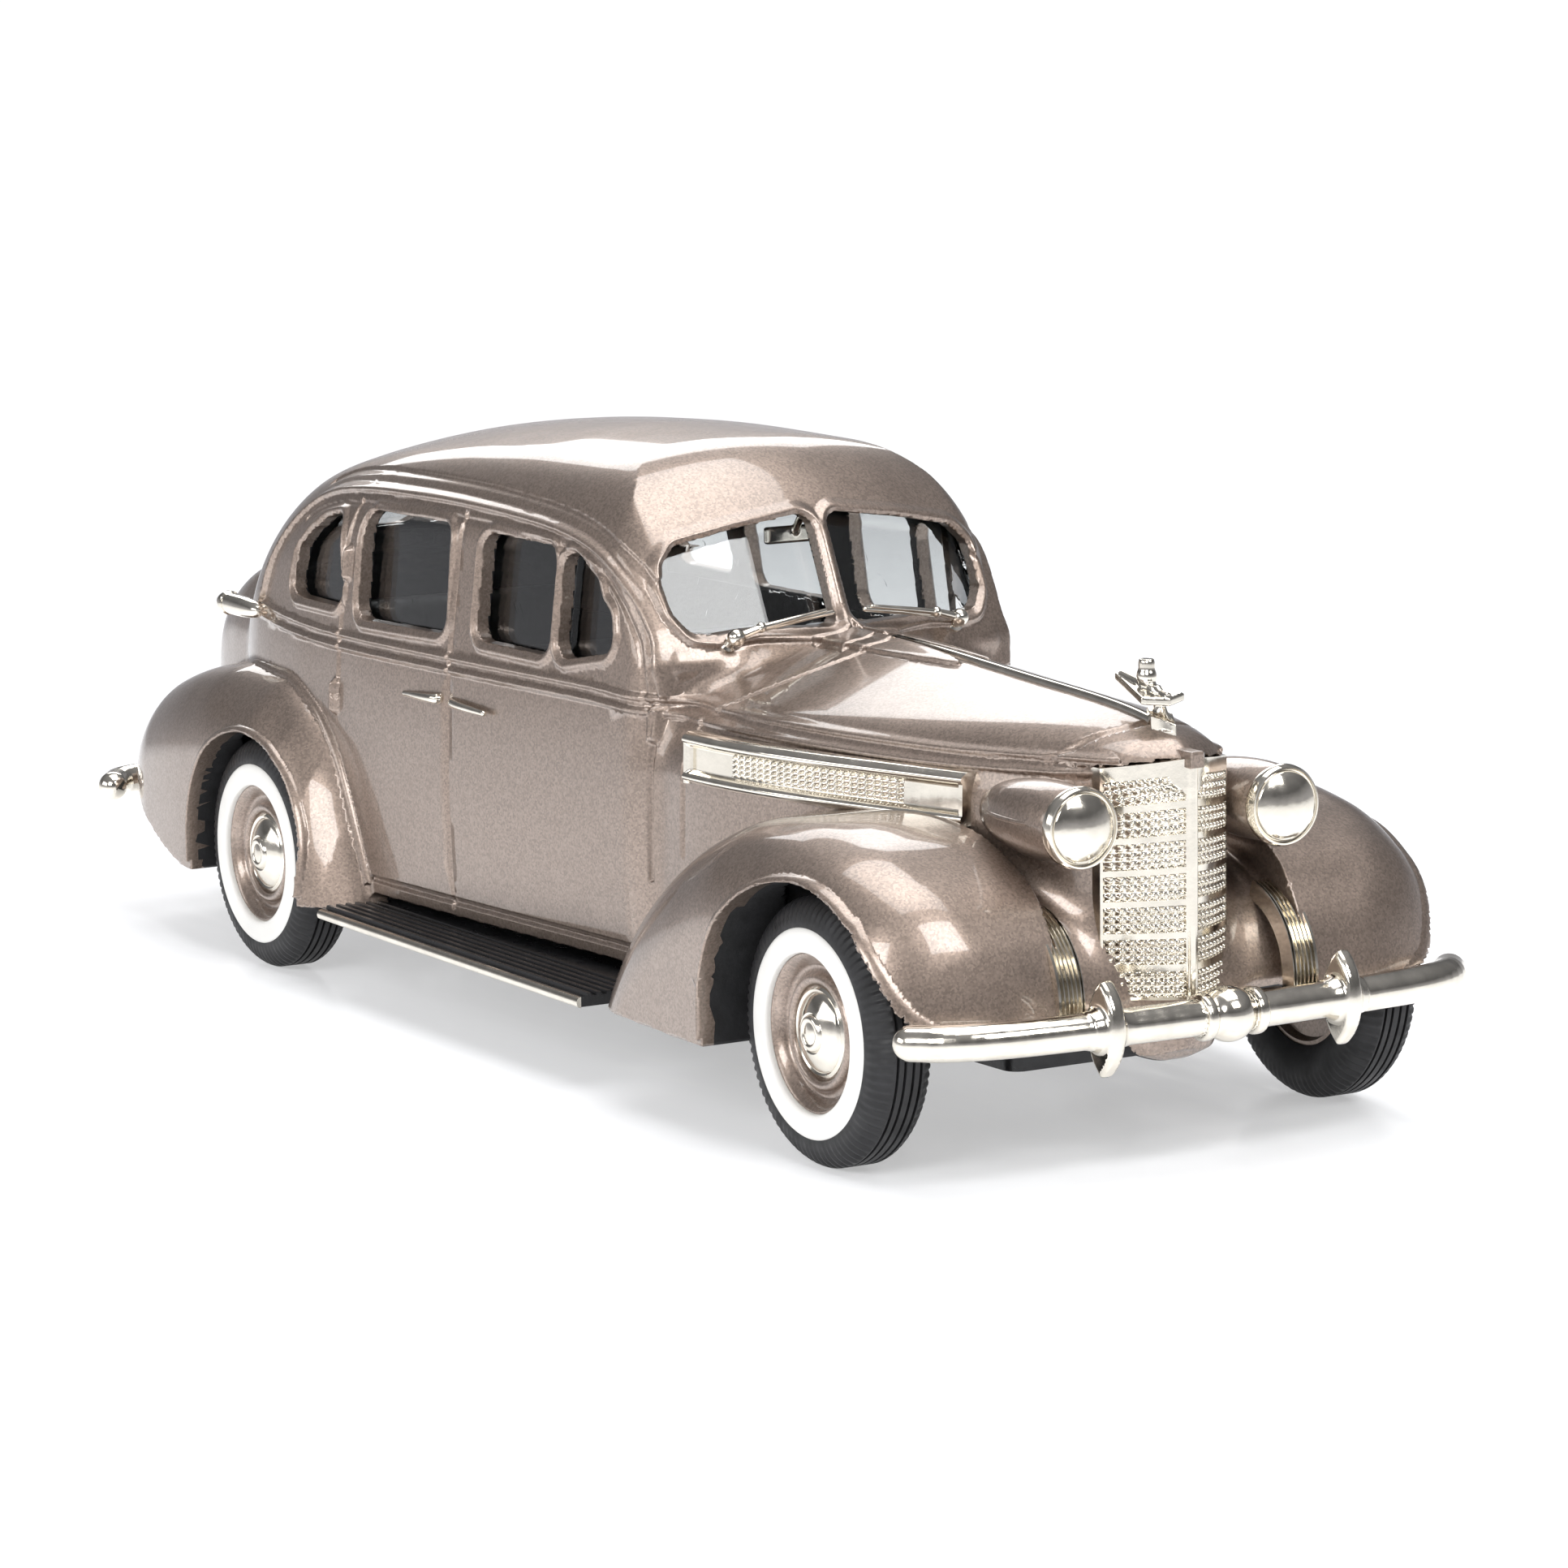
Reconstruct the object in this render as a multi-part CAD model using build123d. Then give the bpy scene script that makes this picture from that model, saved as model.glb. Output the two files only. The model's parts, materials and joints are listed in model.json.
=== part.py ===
from build123d import *
import math
import os

os.makedirs("parts", exist_ok=True)

# A 1:43 scale model of a late-1930s four-door trunk-back sedan, in millimetres.
# +X is the front of the car, +Y its left side, +Z is up, and the tyres stand on z = 0.

# Driving dimensions
WHEELBASE = 73.2
REAR_AXLE_X = -29.9
FRONT_AXLE_X = REAR_AXLE_X + WHEELBASE
TYRE_R = 7.87
TYRE_W = 4.3
TREAD_Y = 17.05
AXLE_R = 0.8
AXLE_GAP = 0.05
WALL = 1.0
SILL_Z = 6.6
BELT_Z = 23.4
TUMBLEHOME = 0.125
ARCH_R = {"front": 8.85, "rear": 8.4}
WELL_R = {"front": 9.2, "rear": 8.8}
WELL_IN = 13.9
WELL_OUT = 18.0
GLASS_GAP = 0.25
GLASS_T = 0.5
PLATE_Z = 4.5
PLATE_T = 1.0
SECTION_POINTS = 31


# ---------------------------------------------------------------- curves and blends
def curve(points):
    """A smooth function through (x, value) points that never overshoots them."""
    xs = [p[0] for p in points]
    vs = [p[1] for p in points]
    steps = [b - a for a, b in zip(xs, xs[1:])]
    rates = [(b - a) / s for a, b, s in zip(vs, vs[1:], steps)]
    slopes = [rates[0]]
    for i in range(1, len(rates)):
        before, after = rates[i - 1], rates[i]
        if before * after <= 0:
            slopes.append(0.0)
        else:
            w_before = 2 * steps[i] + steps[i - 1]
            w_after = steps[i] + 2 * steps[i - 1]
            slopes.append((w_before + w_after) / (w_before / before + w_after / after))
    slopes.append(rates[-1])

    def value(x):
        x = min(max(x, xs[0]), xs[-1])
        i = max(k for k in range(len(steps)) if xs[k] <= x)
        t = (x - xs[i]) / steps[i]
        left = vs[i] * (1 + 2 * t) * (1 - t) ** 2 + slopes[i] * steps[i] * t * (1 - t) ** 2
        right = vs[i + 1] * t * t * (3 - 2 * t) - slopes[i + 1] * steps[i] * t * t * (1 - t)
        return left + right

    return value


def rounded(fields, radius):
    """Intersect half-space fields and round their shared edge to the radius."""
    total = math.sqrt(sum(max(f + radius, 0) ** 2 for f in fields)) - radius
    return total if total > -radius else max(fields)


def blended(a, b, size):
    """Join two fields with a small fillet."""
    h = min(max(0.5 + 0.5 * (b - a) / size, 0), 1)
    return b * (1 - h) + a * h - size * h * (1 - h)


def along(profile, x, value):
    """Signed distance to a height profile, corrected for its slope."""
    slope = (profile(x + 0.05) - profile(x - 0.05)) / 0.1
    return value / math.sqrt(1 + slope * slope)


# ---------------------------------------------------------------- body volumes
cabin_width = curve([(-46.2, 9.8), (-43.3, 12.6), (-40, 14.2), (-36, 15.4), (-32, 15.9), (-27, 16.15),
                     (-20, 16.1), (-7, 15.4), (5, 14.5), (15.5, 13.6), (19.6, 13.0)])
roof_height = curve([(-47, 20.5), (-45.2, 24.6), (-42.3, 28.7), (-38.5, 31.9), (-33.3, 34.5), (-27, 36.1),
                     (-20, 37.2), (-12, 37.9), (-4, 38.2), (4, 38.15), (10, 37.6), (16, 36.6)])
hood_width = curve([(10, 14.3), (19.6, 13.0), (52.5, 4.9), (54, 4.5)])
hood_height = curve([(10, 27.0), (22, 26.9), (38.5, 26.15), (46, 25.75), (50, 25.3), (52.5, 24.7),
                     (54.2, 23.9), (56, 22.5)])
trunk_width = curve([(-59.5, 7.0), (-55.5, 9.5), (-50, 11.5), (-40, 13.2), (-30, 14)])
trunk_height = curve([(-58.6, 12), (-57.2, 18), (-54.9, 22.6), (-51.6, 25.4), (-47, 26.9), (-40, 27.4),
                      (-34, 27.4)])
catwalk_height = curve([(38, 17.4), (44, 16.6), (48, 15.4), (51, 13.0), (53, 9.6), (54, 6.5)])
front_crown = curve([(17.3, 5.0), (18.5, 7.2), (21, 11.0), (25, 14.6), (30, 17.4), (35, 19.0),
                     (40, 19.4), (45, 18.8), (49.5, 17.2), (52.7, 14.8), (54.8, 11.4), (56, 8)])
front_side = curve([(17, 20.0), (24, 20.6), (44, 21.2), (49, 20.7), (52, 19.4), (55, 16.6)])
rear_crown = curve([(-57.5, 9), (-56, 12.4), (-52.5, 15.9), (-47, 18.0), (-41, 19.4), (-35, 20.2),
                    (-30, 20.2), (-25.5, 18.8), (-22.4, 16.2), (-20, 12.2), (-18.4, 8), (-17.8, 6)])
rear_side = curve([(-57, 14.8), (-53, 17.4), (-47, 19.4), (-36, 20.2), (-22, 20.3), (-18, 19.6)])


def cabin(x, y, z):
    lean = max(z - BELT_Z, 0) * TUMBLEHOME
    belly = 0.35 * (1 - ((z - 15) / 8.4) ** 2) if z < BELT_Z else 0
    side = abs(y) - (cabin_width(x) - lean + belly)
    roof = along(roof_height, x, z - roof_height(x) + 0.013 * y * y)
    screen = 16.4 - (z - 27.5) * 0.49 - 0.0115 * y * y
    scuttle = 17.4 - 0.0115 * y * y
    front = (x - (scuttle if z < 25.5 else screen)) * 0.89
    shell = rounded([rounded([side, front], 1.9), roof], 4.5)
    return rounded([shell, -46.1 - x], 3.0)


def hood(x, y, z):
    side = abs(y) - hood_width(x) - 0.02 * (BELT_Z - z)
    top = (z - hood_height(x) + 0.22 * math.sqrt(y * y + 0.3) + 0.012 * y * y - 0.1) * 0.96
    tip = 54.6 if z > 23.6 else 53.75
    nose = (x - (tip - 0.45 * math.sqrt(y * y + 0.05) - 0.055 * y * y)) * 0.85
    return max(rounded([rounded([side, top], 3.2), nose], 0.9), 12 - x)


def trunk(x, y, z):
    top = along(trunk_height, x, z - trunk_height(x) + 0.02 * y * y)
    return max(rounded([abs(y) - trunk_width(x), top, -56.9 - x], 3.2), x + 32)


def main_body(x, y, z):
    return blended(blended(cabin(x, y, z), hood(x, y, z), 1.5), trunk(x, y, z), 1.2)


def catwalk(x, y, z):
    top = along(catwalk_height, x, z - catwalk_height(x) - 0.02 * (abs(y) - 8) ** 2)
    return max(rounded([top, x - 53.6 + 0.03 * max(abs(y) - 6, 0) ** 2], 3.0), abs(y) - 13)


def front_fender(x, y, z):
    drop = 0.012 * max(y - 13.5, 0) ** 2
    top = along(front_crown, x, z - front_crown(x) + drop)
    return max(rounded([top, y - front_side(x), x - 55.5], 5.5), 8.5 - y)


def rear_fender(x, y, z):
    drop = 0.03 * max(y - 14, 0) ** 2
    top = along(rear_crown, x, z - rear_crown(x) + drop)
    return max(rounded([top, y - rear_side(x), -56.3 - x], 5.0), 11 - y)


# ---------------------------------------------------------------- solids from the volumes
def reach(field, x, centre_y, base_z, angle, inset):
    """How far a ray in the section plane runs before it leaves the inset volume."""
    low, high = 0.0, 45.0
    for _ in range(19):
        mid = (low + high) / 2
        inside = field(x, centre_y + mid * math.cos(angle), base_z + mid * math.sin(angle)) < -inset
        low, high = (mid, high) if inside else (low, mid)
    return low


def section(field, x, centre_y, base_z, inset, count=SECTION_POINTS):
    """A closed section across the car: a smooth arch over a straight base line."""
    points = []
    for k in range(count):
        angle = math.pi * k / (count - 1)
        r = reach(field, x, centre_y, base_z, angle, inset)
        points.append(Vector(x, centre_y + r * math.cos(angle), base_z + r * math.sin(angle)))
    return Wire([Edge.make_spline(points), Edge.make_line(points[-1], points[0])])


def skin(field, stations, centre_y, base_z, inset=0.0):
    """A solid lofted through sections at the stations along the car."""
    wires = [section(field, x, centre_y, base_z, inset) for x in stations]
    return Solid.make_loft(wires, ruled=True)


def spaced(low, high, step):
    """Evenly spaced stations from low to high."""
    count = max(1, round((high - low) / step))
    return [low + (high - low) * k / count for k in range(count + 1)]


def main_stations(back, front):
    """Close stations at the curved ends and the windscreen, wide ones elsewhere."""
    tail = [back, back + 0.3, back + 0.9, back + 1.8]
    cabin_run = spaced(back + 3.0, -32.2, 2.2) + spaced(-31.0, 8.0, 3.9)
    screen = spaced(9.2, 18.0, 0.8)
    nose = spaced(20.5, front - 3.0, 4.5) + [front - 2.0, front - 1.0, front - 0.4, front]
    return tail + cabin_run + screen + nose


def box(low, high):
    """An axis-aligned block between two corners."""
    size = [b - a for a, b in zip(low, high)]
    return Pos(*low) * Box(*size, align=(Align.MIN, Align.MIN, Align.MIN))


def rod(start, end, radius):
    """A cylinder between two points."""
    axis = Vector(*end) - Vector(*start)
    plane = Plane(origin=Vector(*start), z_dir=axis.normalized())
    return extrude(plane * Circle(radius), amount=axis.length)


def across(x, y, z, radius, width):
    """A cylinder about a line along Y, centred on the point."""
    return Pos(x, y, z) * Rot(90, 0, 0) * Cylinder(radius, width)


def mirrored(shape):
    """The same piece on the other side of the car."""
    return mirror(shape, about=Plane.XZ)


def side_plate(points, y_in, y_out, corner):
    """A rounded polygon drawn in the X-Z plane and extruded outwards on the left side."""
    face = make_face(Polyline([Vector(x, 0, z) for x, z in points], close=True))
    face = fillet(face.vertices(), corner)
    return Pos(0, y_in, 0) * extrude(face, amount=y_out - y_in, dir=(0, 1, 0))


def front_plate(points, x_in, x_out, corner):
    """A rounded polygon drawn in the Y-Z plane and extruded forwards."""
    face = make_face(Polyline([Vector(0, y, z) for y, z in points], close=True))
    face = fillet(face.vertices(), corner)
    return Pos(x_in, 0, 0) * extrude(face, amount=x_out - x_in, dir=(1, 0, 0))


# ---------------------------------------------------------------- body casting
QUARTER_LIGHT = [(-29.6, 25.5), (-22.2, 25.7), (-23.4, 31.1), (-27.0, 30.9), (-29.6, 28.6)]
REAR_DOOR_LIGHT = [(-20.1, 25.3), (-8.1, 25.5), (-8.5, 31.7), (-20.3, 31.6)]
FRONT_DOOR_LIGHT = [(-4.7, 25.3), (4.2, 25.2), (4.2, 31.5), (-4.7, 31.7)]
VENT_LIGHT = [(4.9, 25.2), (11.3, 25.4), (10.2, 28.4), (7.7, 30.6), (4.9, 31.4)]
WINDSCREEN = [(0.35, 27.7), (10.4, 26.9), (11.5, 28.4), (11.3, 31.6), (9.6, 32.9), (0.35, 33.4)]
REAR_SCREEN = [(0.4, 28.2), (6.6, 28.0), (6.4, 31.2), (0.4, 31.9)]


def window_cutters():
    cutters = []
    for outline in (QUARTER_LIGHT, REAR_DOOR_LIGHT, FRONT_DOOR_LIGHT, VENT_LIGHT):
        cutters.append(side_plate(outline, 9, 20, 0.8))
    cutters.append(front_plate(WINDSCREEN, 5, 22, 0.5))
    cutters.append(front_plate(REAR_SCREEN, -50, -30, 0.6))
    return cutters + [mirrored(c) for c in cutters]


def wheel_wells():
    """Arch openings, the wider wells behind their lips, and the open space below the axles."""
    wells = []
    for end, x in (("front", FRONT_AXLE_X), ("rear", REAR_AXLE_X)):
        for radius, y_out in ((ARCH_R[end], 24), (WELL_R[end], WELL_OUT)):
            wells.append(across(x, (WELL_IN + y_out) / 2, TYRE_R, radius, y_out - WELL_IN))
        wells.append(box((x - ARCH_R[end], WELL_IN, -1), (x + ARCH_R[end], 24, TYRE_R)))
    return wells


def make_body(attached):
    outer = skin(main_body, main_stations(-56.7, 53.4), 0, SILL_Z)
    catwalk_block = skin(catwalk, spaced(38.5, 52.5, 2.0) + [52.9], 0, 5.6)
    front = skin(front_fender, [18.1, 18.8, 20] + spaced(22, 50, 3.5) + [51.5, 53, 53.8, 54.2], 14, 5.8)
    rear = skin(rear_fender, [-55.1, -54.6, -53.6] + spaced(-52, -22, 3.3) + [-20.6, -19.4, -18.6], 14, 5.7)
    casting = outer + catwalk_block
    for block in (front, mirrored(front), rear, mirrored(rear)):
        casting += block
    cavity = skin(main_body, main_stations(-55.4, 52.0), 0, SILL_Z - 1.5, WALL)
    casting -= cavity
    for well in wheel_wells():
        casting -= [well, mirrored(well)]
    for x in (FRONT_AXLE_X, REAR_AXLE_X):
        casting -= box((x - 1.6, -WELL_IN - 0.1, 3), (x + 1.6, WELL_IN + 0.1, TYRE_R + 1.6))
    for cutter in window_cutters():
        casting -= cutter
    for trim in (tail_trim(), nose_trim()):
        casting -= [trim, mirrored(trim)]
    for piece in attached:
        casting -= piece
    return casting


def tail_trim():
    """What the rising lower edge of the rear fender leaves out."""
    outline = [(-60, 3), (-39.5, 3), (-39.5, 5.6), (-44, 6.7), (-49, 8.8), (-53, 10.8), (-60, 14.6)]
    return side_plate(outline, 11.7, 24, 0.05)


def nose_trim():
    """What the raised lower edge of the front fender leaves out, beside the chin."""
    outline = [(46, 3), (60, 3), (60, 8.8), (51.2, 8.8), (48.8, 7.4), (46, 5.9)]
    return side_plate(outline, 6.8, 24, 0.05)


# ---------------------------------------------------------------- glazing
def make_glazing():
    stations = spaced(-44.3, -32.2, 1.1) + spaced(-31.0, 8.0, 3.9) + spaced(9.2, 15.2, 0.6)
    pane = skin(main_body, stations, 0, 20, WALL + GLASS_GAP)
    pane -= skin(main_body, [s + 0.001 for s in stations], 0, 19.9, WALL + GLASS_GAP + GLASS_T)
    screen = pane & box((10.0, -11.9, 26.2), (18, 11.9, 34.0))
    left = pane & box((-31.0, 11.2, 24.6), (9.6, 18, 32.4))
    back = pane & box((-45, -7.6, 27.4), (-38.0, 7.6, 32.4))
    return screen, left, back


# ---------------------------------------------------------------- wheels
def tube_ring(inner_r, outer_r, width):
    """A flat ring about the wheel axis."""
    return Rot(90, 0, 0) * (Cylinder(outer_r, width) - Cylinder(inner_r, width * 3))


WHITEWALL = {"inner_r": 4.75, "outer_r": 6.15, "width": 0.35}
WHITEWALL_Y = TYRE_W / 2 - 0.32


def tyre(side):
    profile = [(4.7, 0.5), (6.2, 0.15), (7.3, 0.55), (TYRE_R, 1.3), (TYRE_R, TYRE_W - 1.3),
               (7.3, TYRE_W - 0.55), (6.2, TYRE_W - 0.15), (4.7, TYRE_W - 0.5)]
    face = make_face(Polyline([Vector(r, w - TYRE_W / 2, 0) for r, w in profile], close=True))
    return revolve(face, Axis.Y) - whitewall(side)


def whitewall(side):
    return Pos(0, side * WHITEWALL_Y, 0) * tube_ring(**WHITEWALL)


def wheel_disc(side):
    """Pressed steel disc: a rim well with stepped rings, bored for the axle."""
    profile = [(0.0, -1.4), (4.7, -1.4), (4.7, 1.45), (4.3, 1.55), (3.9, 1.1), (3.2, 1.25),
               (2.75, 0.95), (0.0, 0.95)]
    face = make_face(Polyline([Vector(r, side * w, 0) for r, w in profile], close=True))
    disc = revolve(face, Axis.Y)
    return disc - Pos(0, -side * 0.6, 0) * Rot(90, 0, 0) * Cylinder(AXLE_R, 2.4)


def hubcap(side):
    """Domed cap with a small round boss."""
    dome_r = 4.6
    cap = Pos(0, 0.95 - (dome_r - 0.9), 0) * Sphere(dome_r)
    cap = cap & Pos(0, 0.95 + 1.0, 0) * Rot(90, 0, 0) * Cylinder(2.67, 2.0)
    cap += Pos(0, 1.75, 0) * Rot(90, 0, 0) * Cylinder(0.75, 0.5)
    return cap if side > 0 else mirrored(cap)


def wheel_set(name, x):
    """Two wheels pressed on one steel axle."""
    pieces = {name + "_axle": across(x, 0, TYRE_R, AXLE_R, 2 * (TREAD_Y + 0.6))}
    for side, word in ((1, "left"), (-1, "right")):
        place = Pos(x, side * TREAD_Y, TYRE_R)
        pieces[name + "_tyre_" + word] = place * tyre(side)
        pieces[name + "_whitewall_" + word] = place * whitewall(side)
        pieces[name + "_wheel_disc_" + word] = place * wheel_disc(side)
        pieces[name + "_hubcap_" + word] = place * hubcap(side)
    return pieces


# ---------------------------------------------------------------- chassis and interior
SCREW_X = (-40.0, 26.0)


def baseplate():
    """Floor plate with saddles for both axles and two screw bosses."""
    outline = [(-52, -9), (-46, -11), (-38, -13.6), (16, -13.4), (30, -12.5), (34, -7.0), (45.6, -6.6),
               (45.6, 0)]
    points = outline + [(x, -y) for x, y in reversed(outline[:-1])]
    face = make_face(Polyline([Vector(x, y, PLATE_Z) for x, y in points], close=True))
    plate = extrude(fillet(face.vertices(), 1.0), amount=PLATE_T)
    top = PLATE_Z + PLATE_T
    saddle_top = TYRE_R + 1.9
    for x, reach_y in ((FRONT_AXLE_X, 5.0), (REAR_AXLE_X, 11.0)):
        for side in (1, -1):
            y = side * reach_y
            plate += box((x - 1.5, y - 0.9, top), (x + 1.5, y + 0.9, saddle_top))
        plate -= across(x, 0, TYRE_R, AXLE_R + AXLE_GAP, 30)
    for x in SCREW_X:
        plate += Pos(x, 0, top) * Cylinder(2.0, 3.0, align=(Align.CENTER, Align.CENTER, Align.MIN))
        plate -= Pos(x, 0, PLATE_Z - 0.1) * Cylinder(1.75, 0.7, align=(Align.CENTER, Align.CENTER, Align.MIN))
        plate -= Pos(x, 0, PLATE_Z - 0.1) * Cylinder(0.8, 6.0, align=(Align.CENTER, Align.CENTER, Align.MIN))
    return plate


def screws():
    """Two slotted screws that hold the plate to the casting."""
    head = [Pos(x, 0, PLATE_Z + 0.05) * Cylinder(1.6, 0.55, align=(Align.CENTER, Align.CENTER, Align.MIN))
            for x in SCREW_X]
    shank = [Pos(x, 0, PLATE_Z + 0.3) * Cylinder(0.75, 4.4, align=(Align.CENTER, Align.CENTER, Align.MIN))
             for x in SCREW_X]
    slot = [box((x - 1.7, -0.15, PLATE_Z), (x + 1.7, 0.15, PLATE_Z + 0.3)) for x in SCREW_X]
    pieces = [h + s - c for h, s, c in zip(head, shank, slot)]
    return Compound(children=pieces)


def interior_tub():
    """Floor pan with low side cards and a dash bulkhead."""
    low, high = (-41.5, -12.0, 9.9), (14.8, 12.0, 21.4)
    tub = box(low, high)
    inner_low = (low[0] + 1.0, low[1] + 0.9, low[2] + 0.9)
    tub -= box(inner_low, (high[0] - 1.0, high[1] - 0.9, high[2] + 1))
    return tub


def bench(x, width, back_height, cushion_depth):
    """Bench seat: a rounded cushion and a leaning squab in one moulding."""
    floor_z = 10.8
    cushion = box((x, -width, floor_z), (x + cushion_depth, width, floor_z + 6.0))
    cushion = fillet(cushion.edges().filter_by(Axis.Y).sort_by(Axis.Z)[-2:], 1.2)
    squab = Pos(x, 0, floor_z) * Rot(0, -12, 0) * Box(3.2, 2 * width, back_height,
                                                    align=(Align.MIN, Align.CENTER, Align.MIN))
    squab = fillet(squab.edges().filter_by(Axis.Y).sort_by(Axis.Z)[-2:], 1.2)
    seat = cushion + squab
    return seat & box((x - 8, -width - 1, floor_z), (x + 20, width + 1, 40))


def dashboard():
    """Board with its rolled top leaning towards the seats."""
    outline = [(10.3, 19.5), (13.7, 19.5), (13.7, 24.6), (11.7, 25.2), (10.5, 23.4)]
    return side_plate(outline, -11.0, 11.0, 0.4)


STEER = (8.2, 5.6, 22.0)
STEER_TILT = 32


def steering_wheel():
    """Three-spoke wheel on its column."""
    rim = Torus(4.3, 0.32)
    hub = Cylinder(0.85, 0.8)
    wheel = rim + hub
    for k in range(3):
        wheel += Rot(0, 0, 120 * k + 60) * Pos(2.2, 0, 0) * Rot(0, 90, 0) * Cylinder(0.22, 4.1)
    column = Cylinder(0.45, 6.0, align=(Align.CENTER, Align.CENTER, Align.MAX))
    return Pos(*STEER) * Rot(0, -90 + STEER_TILT, 0) * (wheel + column)


def mirror_inside():
    """Rear-view mirror on a stem under the header."""
    stem = rod((11.2, 0, 33.4), (10.4, 0, 32.4), 0.25)
    return stem + box((10.0, -2.2, 31.6), (10.5, 2.2, 32.7))


# ---------------------------------------------------------------- brightwork
GRILLE_TOP = 23.6
GRILLE_FOOT = 9.6


def grille():
    """V-plan radiator grille casting that fills the nose."""
    half = 4.4
    sweep = [0.0, 1.5, 3.0, half]
    edge = [(54.5 - 0.45 * y - 0.055 * y * y, y) for y in sweep]
    back = [(52.0, 0.0), (50.6, half)]
    points = [(x, -y) for x, y in reversed(edge[1:])] + edge + [back[1], back[0], (50.6, -half)]
    face = make_face(Polyline([Vector(x, y, GRILLE_FOOT) for x, y in points], close=True))
    block = extrude(face, amount=GRILLE_TOP - GRILLE_FOOT)
    ridge = box((54.2, -0.22, GRILLE_FOOT), (54.85, 0.22, GRILLE_TOP))
    return block + ridge


def louvre():
    """Bright ventilator panel on the hood side, let into the casting by its pegs."""
    points = [(19.9, 18.85), (43.2, 19.05), (43.2, 22.1), (19.9, 21.75)]
    start, end = hood_width(19.9), hood_width(43.2)
    turn = math.degrees(math.atan2(start - end, 43.2 - 19.9))
    length = math.hypot(start - end, 43.2 - 19.9)
    plate = box((0, -0.7, 18.85), (length, 0.55, 22.0))
    plate = fillet(plate.edges().filter_by(Axis.Y), 0.3)
    for z in (18.85, 21.45):
        plate += box((0, 0.4, z), (length, 0.85, z + 0.55))
    return Pos(points[0][0], start, 0) * Rot(0, 0, -turn) * plate


def headlight_pod():
    """Teardrop painted shell, open in front for the bright insert."""
    outline = [(53.0, 2.2), (50.5, 2.35), (48.0, 2.2), (46.0, 1.7), (44.6, 0.9), (44.0, 0.0)]
    profile = Spline([Vector(x, r, 0) for x, r in outline])
    face = make_face([profile.edge(), Line((44.0, 0, 0), (53.0, 0, 0)).edge(),
                      Line((53.0, 0, 0), (53.0, 2.2, 0)).edge()])
    pod = revolve(face, Axis.X)
    pod -= Pos(52.2, 0, 0) * Rot(0, 90, 0) * Cylinder(1.6, 1.7)
    return Pos(0, 7.0, 20.06) * pod


def headlight_lens():
    """Plated rim with a domed front and a peg into the pod."""
    rim = Pos(53.35, 0, 0) * Rot(0, 90, 0) * Cylinder(2.34, 0.7)
    dome = Pos(53.7 - 4.4, 0, 0) * Sphere(5.0) & Pos(53.7 + 0.4, 0, 0) * Rot(0, 90, 0) * Cylinder(1.9, 0.8)
    peg = Pos(52.3, 0, 0) * Rot(0, 90, 0) * Cylinder(1.5, 1.45)
    return Pos(0, 7.0, 20.06) * (rim + dome + peg)


def hood_strip():
    """Thin bright moulding along the hood's ridge."""
    base = [(x, hood_height(x) - 0.35) for x in (22.5, 30, 38, 44, 48, 50.2)]
    top = [(x, z + 0.62) for x, z in reversed(base)]
    face = make_face(Polyline([Vector(x, 0, z) for x, z in base + top], close=True))
    return Pos(0, -0.28, 0) * extrude(face, amount=0.56, dir=(0, 1, 0))


def ornament():
    """Swept wing on a foot with a small figurehead."""
    foot = box((50.3, -0.45, 24.3), (52.2, 0.45, 26.4))
    wing = side_plate([(46.4, 27.2), (52.3, 26.2), (52.4, 26.8), (47.0, 27.9)], -0.7, 0.7, 0.2)
    head = Pos(49.7, 0, 27.2) * Cylinder(0.55, 1.4, align=(Align.CENTER, Align.CENTER, Align.MIN))
    return foot + wing + head


def fender_vent():
    """Ribbed bright strip set upright in the catwalk."""
    outline = [(52.2, 9.4), (53.9, 9.4), (53.5, 11.6), (52.0, 13.7), (50.0, 14.9), (49.2, 14.2), (50.8, 12.6)]
    plate = side_plate(outline, 0, 1.7, 0.15)
    return Pos(0, 7.3, 0) * plate


def door_handle(x, y, z, post_x):
    """Small lever handle on one post, at the end next to the shut line."""
    lever = side_plate([(x - 2.2, z - 0.3), (x + 2.2, z - 0.3), (x + 2.2, z + 0.25), (x - 2.2, z + 0.25)],
                       y + 0.45, y + 0.95, 0.1)
    return lever + across(x + post_x, y, z, 0.42, 1.2)


def tail_light():
    """Bullet lamp that trails back from a stalk on the belt line."""
    outline = [(0.0, 0.75), (0.35, 0.72), (0.7, 0.4), (0.75, 0.0), (0.75, -4.9), (0.7, -5.3), (0.35, -5.62),
               (0.0, -5.65)]
    face = make_face(Polyline([Vector(along, r, 0) for r, along in outline], close=True))
    bullet = Pos(-34.9, 16.2, 23.9) * revolve(face, Axis.X)
    return bullet + across(-35.0, 15.3, 23.9, 0.5, 1.6)


def running_board(y_in=15.2, y_out=19.75):
    board = box((-18.6, y_in, 5.1), (17.6, y_out, 5.9))
    for k in range(6):
        y = y_in + 0.55 + 0.68 * k
        board += box((-18.2, y, 5.85), (17.2, y + 0.34, 6.05))
    board += box((-18.6, 13.5, 5.75), (17.6, y_in + 0.1, 5.9))
    return board


def board_trim():
    return box((-18.6, 19.75, 5.05), (17.6, 20.1, 5.85))


def wiper(side):
    """Spindle, arm and blade lying along the foot of the windscreen."""
    pivot = (17.0, side * 8.3, 26.9)
    arm = rod((15.7, side * 8.3, 26.4), pivot, 0.42) + Pos(*pivot) * Sphere(0.6)
    return arm + rod((17.0, side * 8.1, 27.0), (16.9, side * 1.4, 28.1), 0.34)


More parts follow.
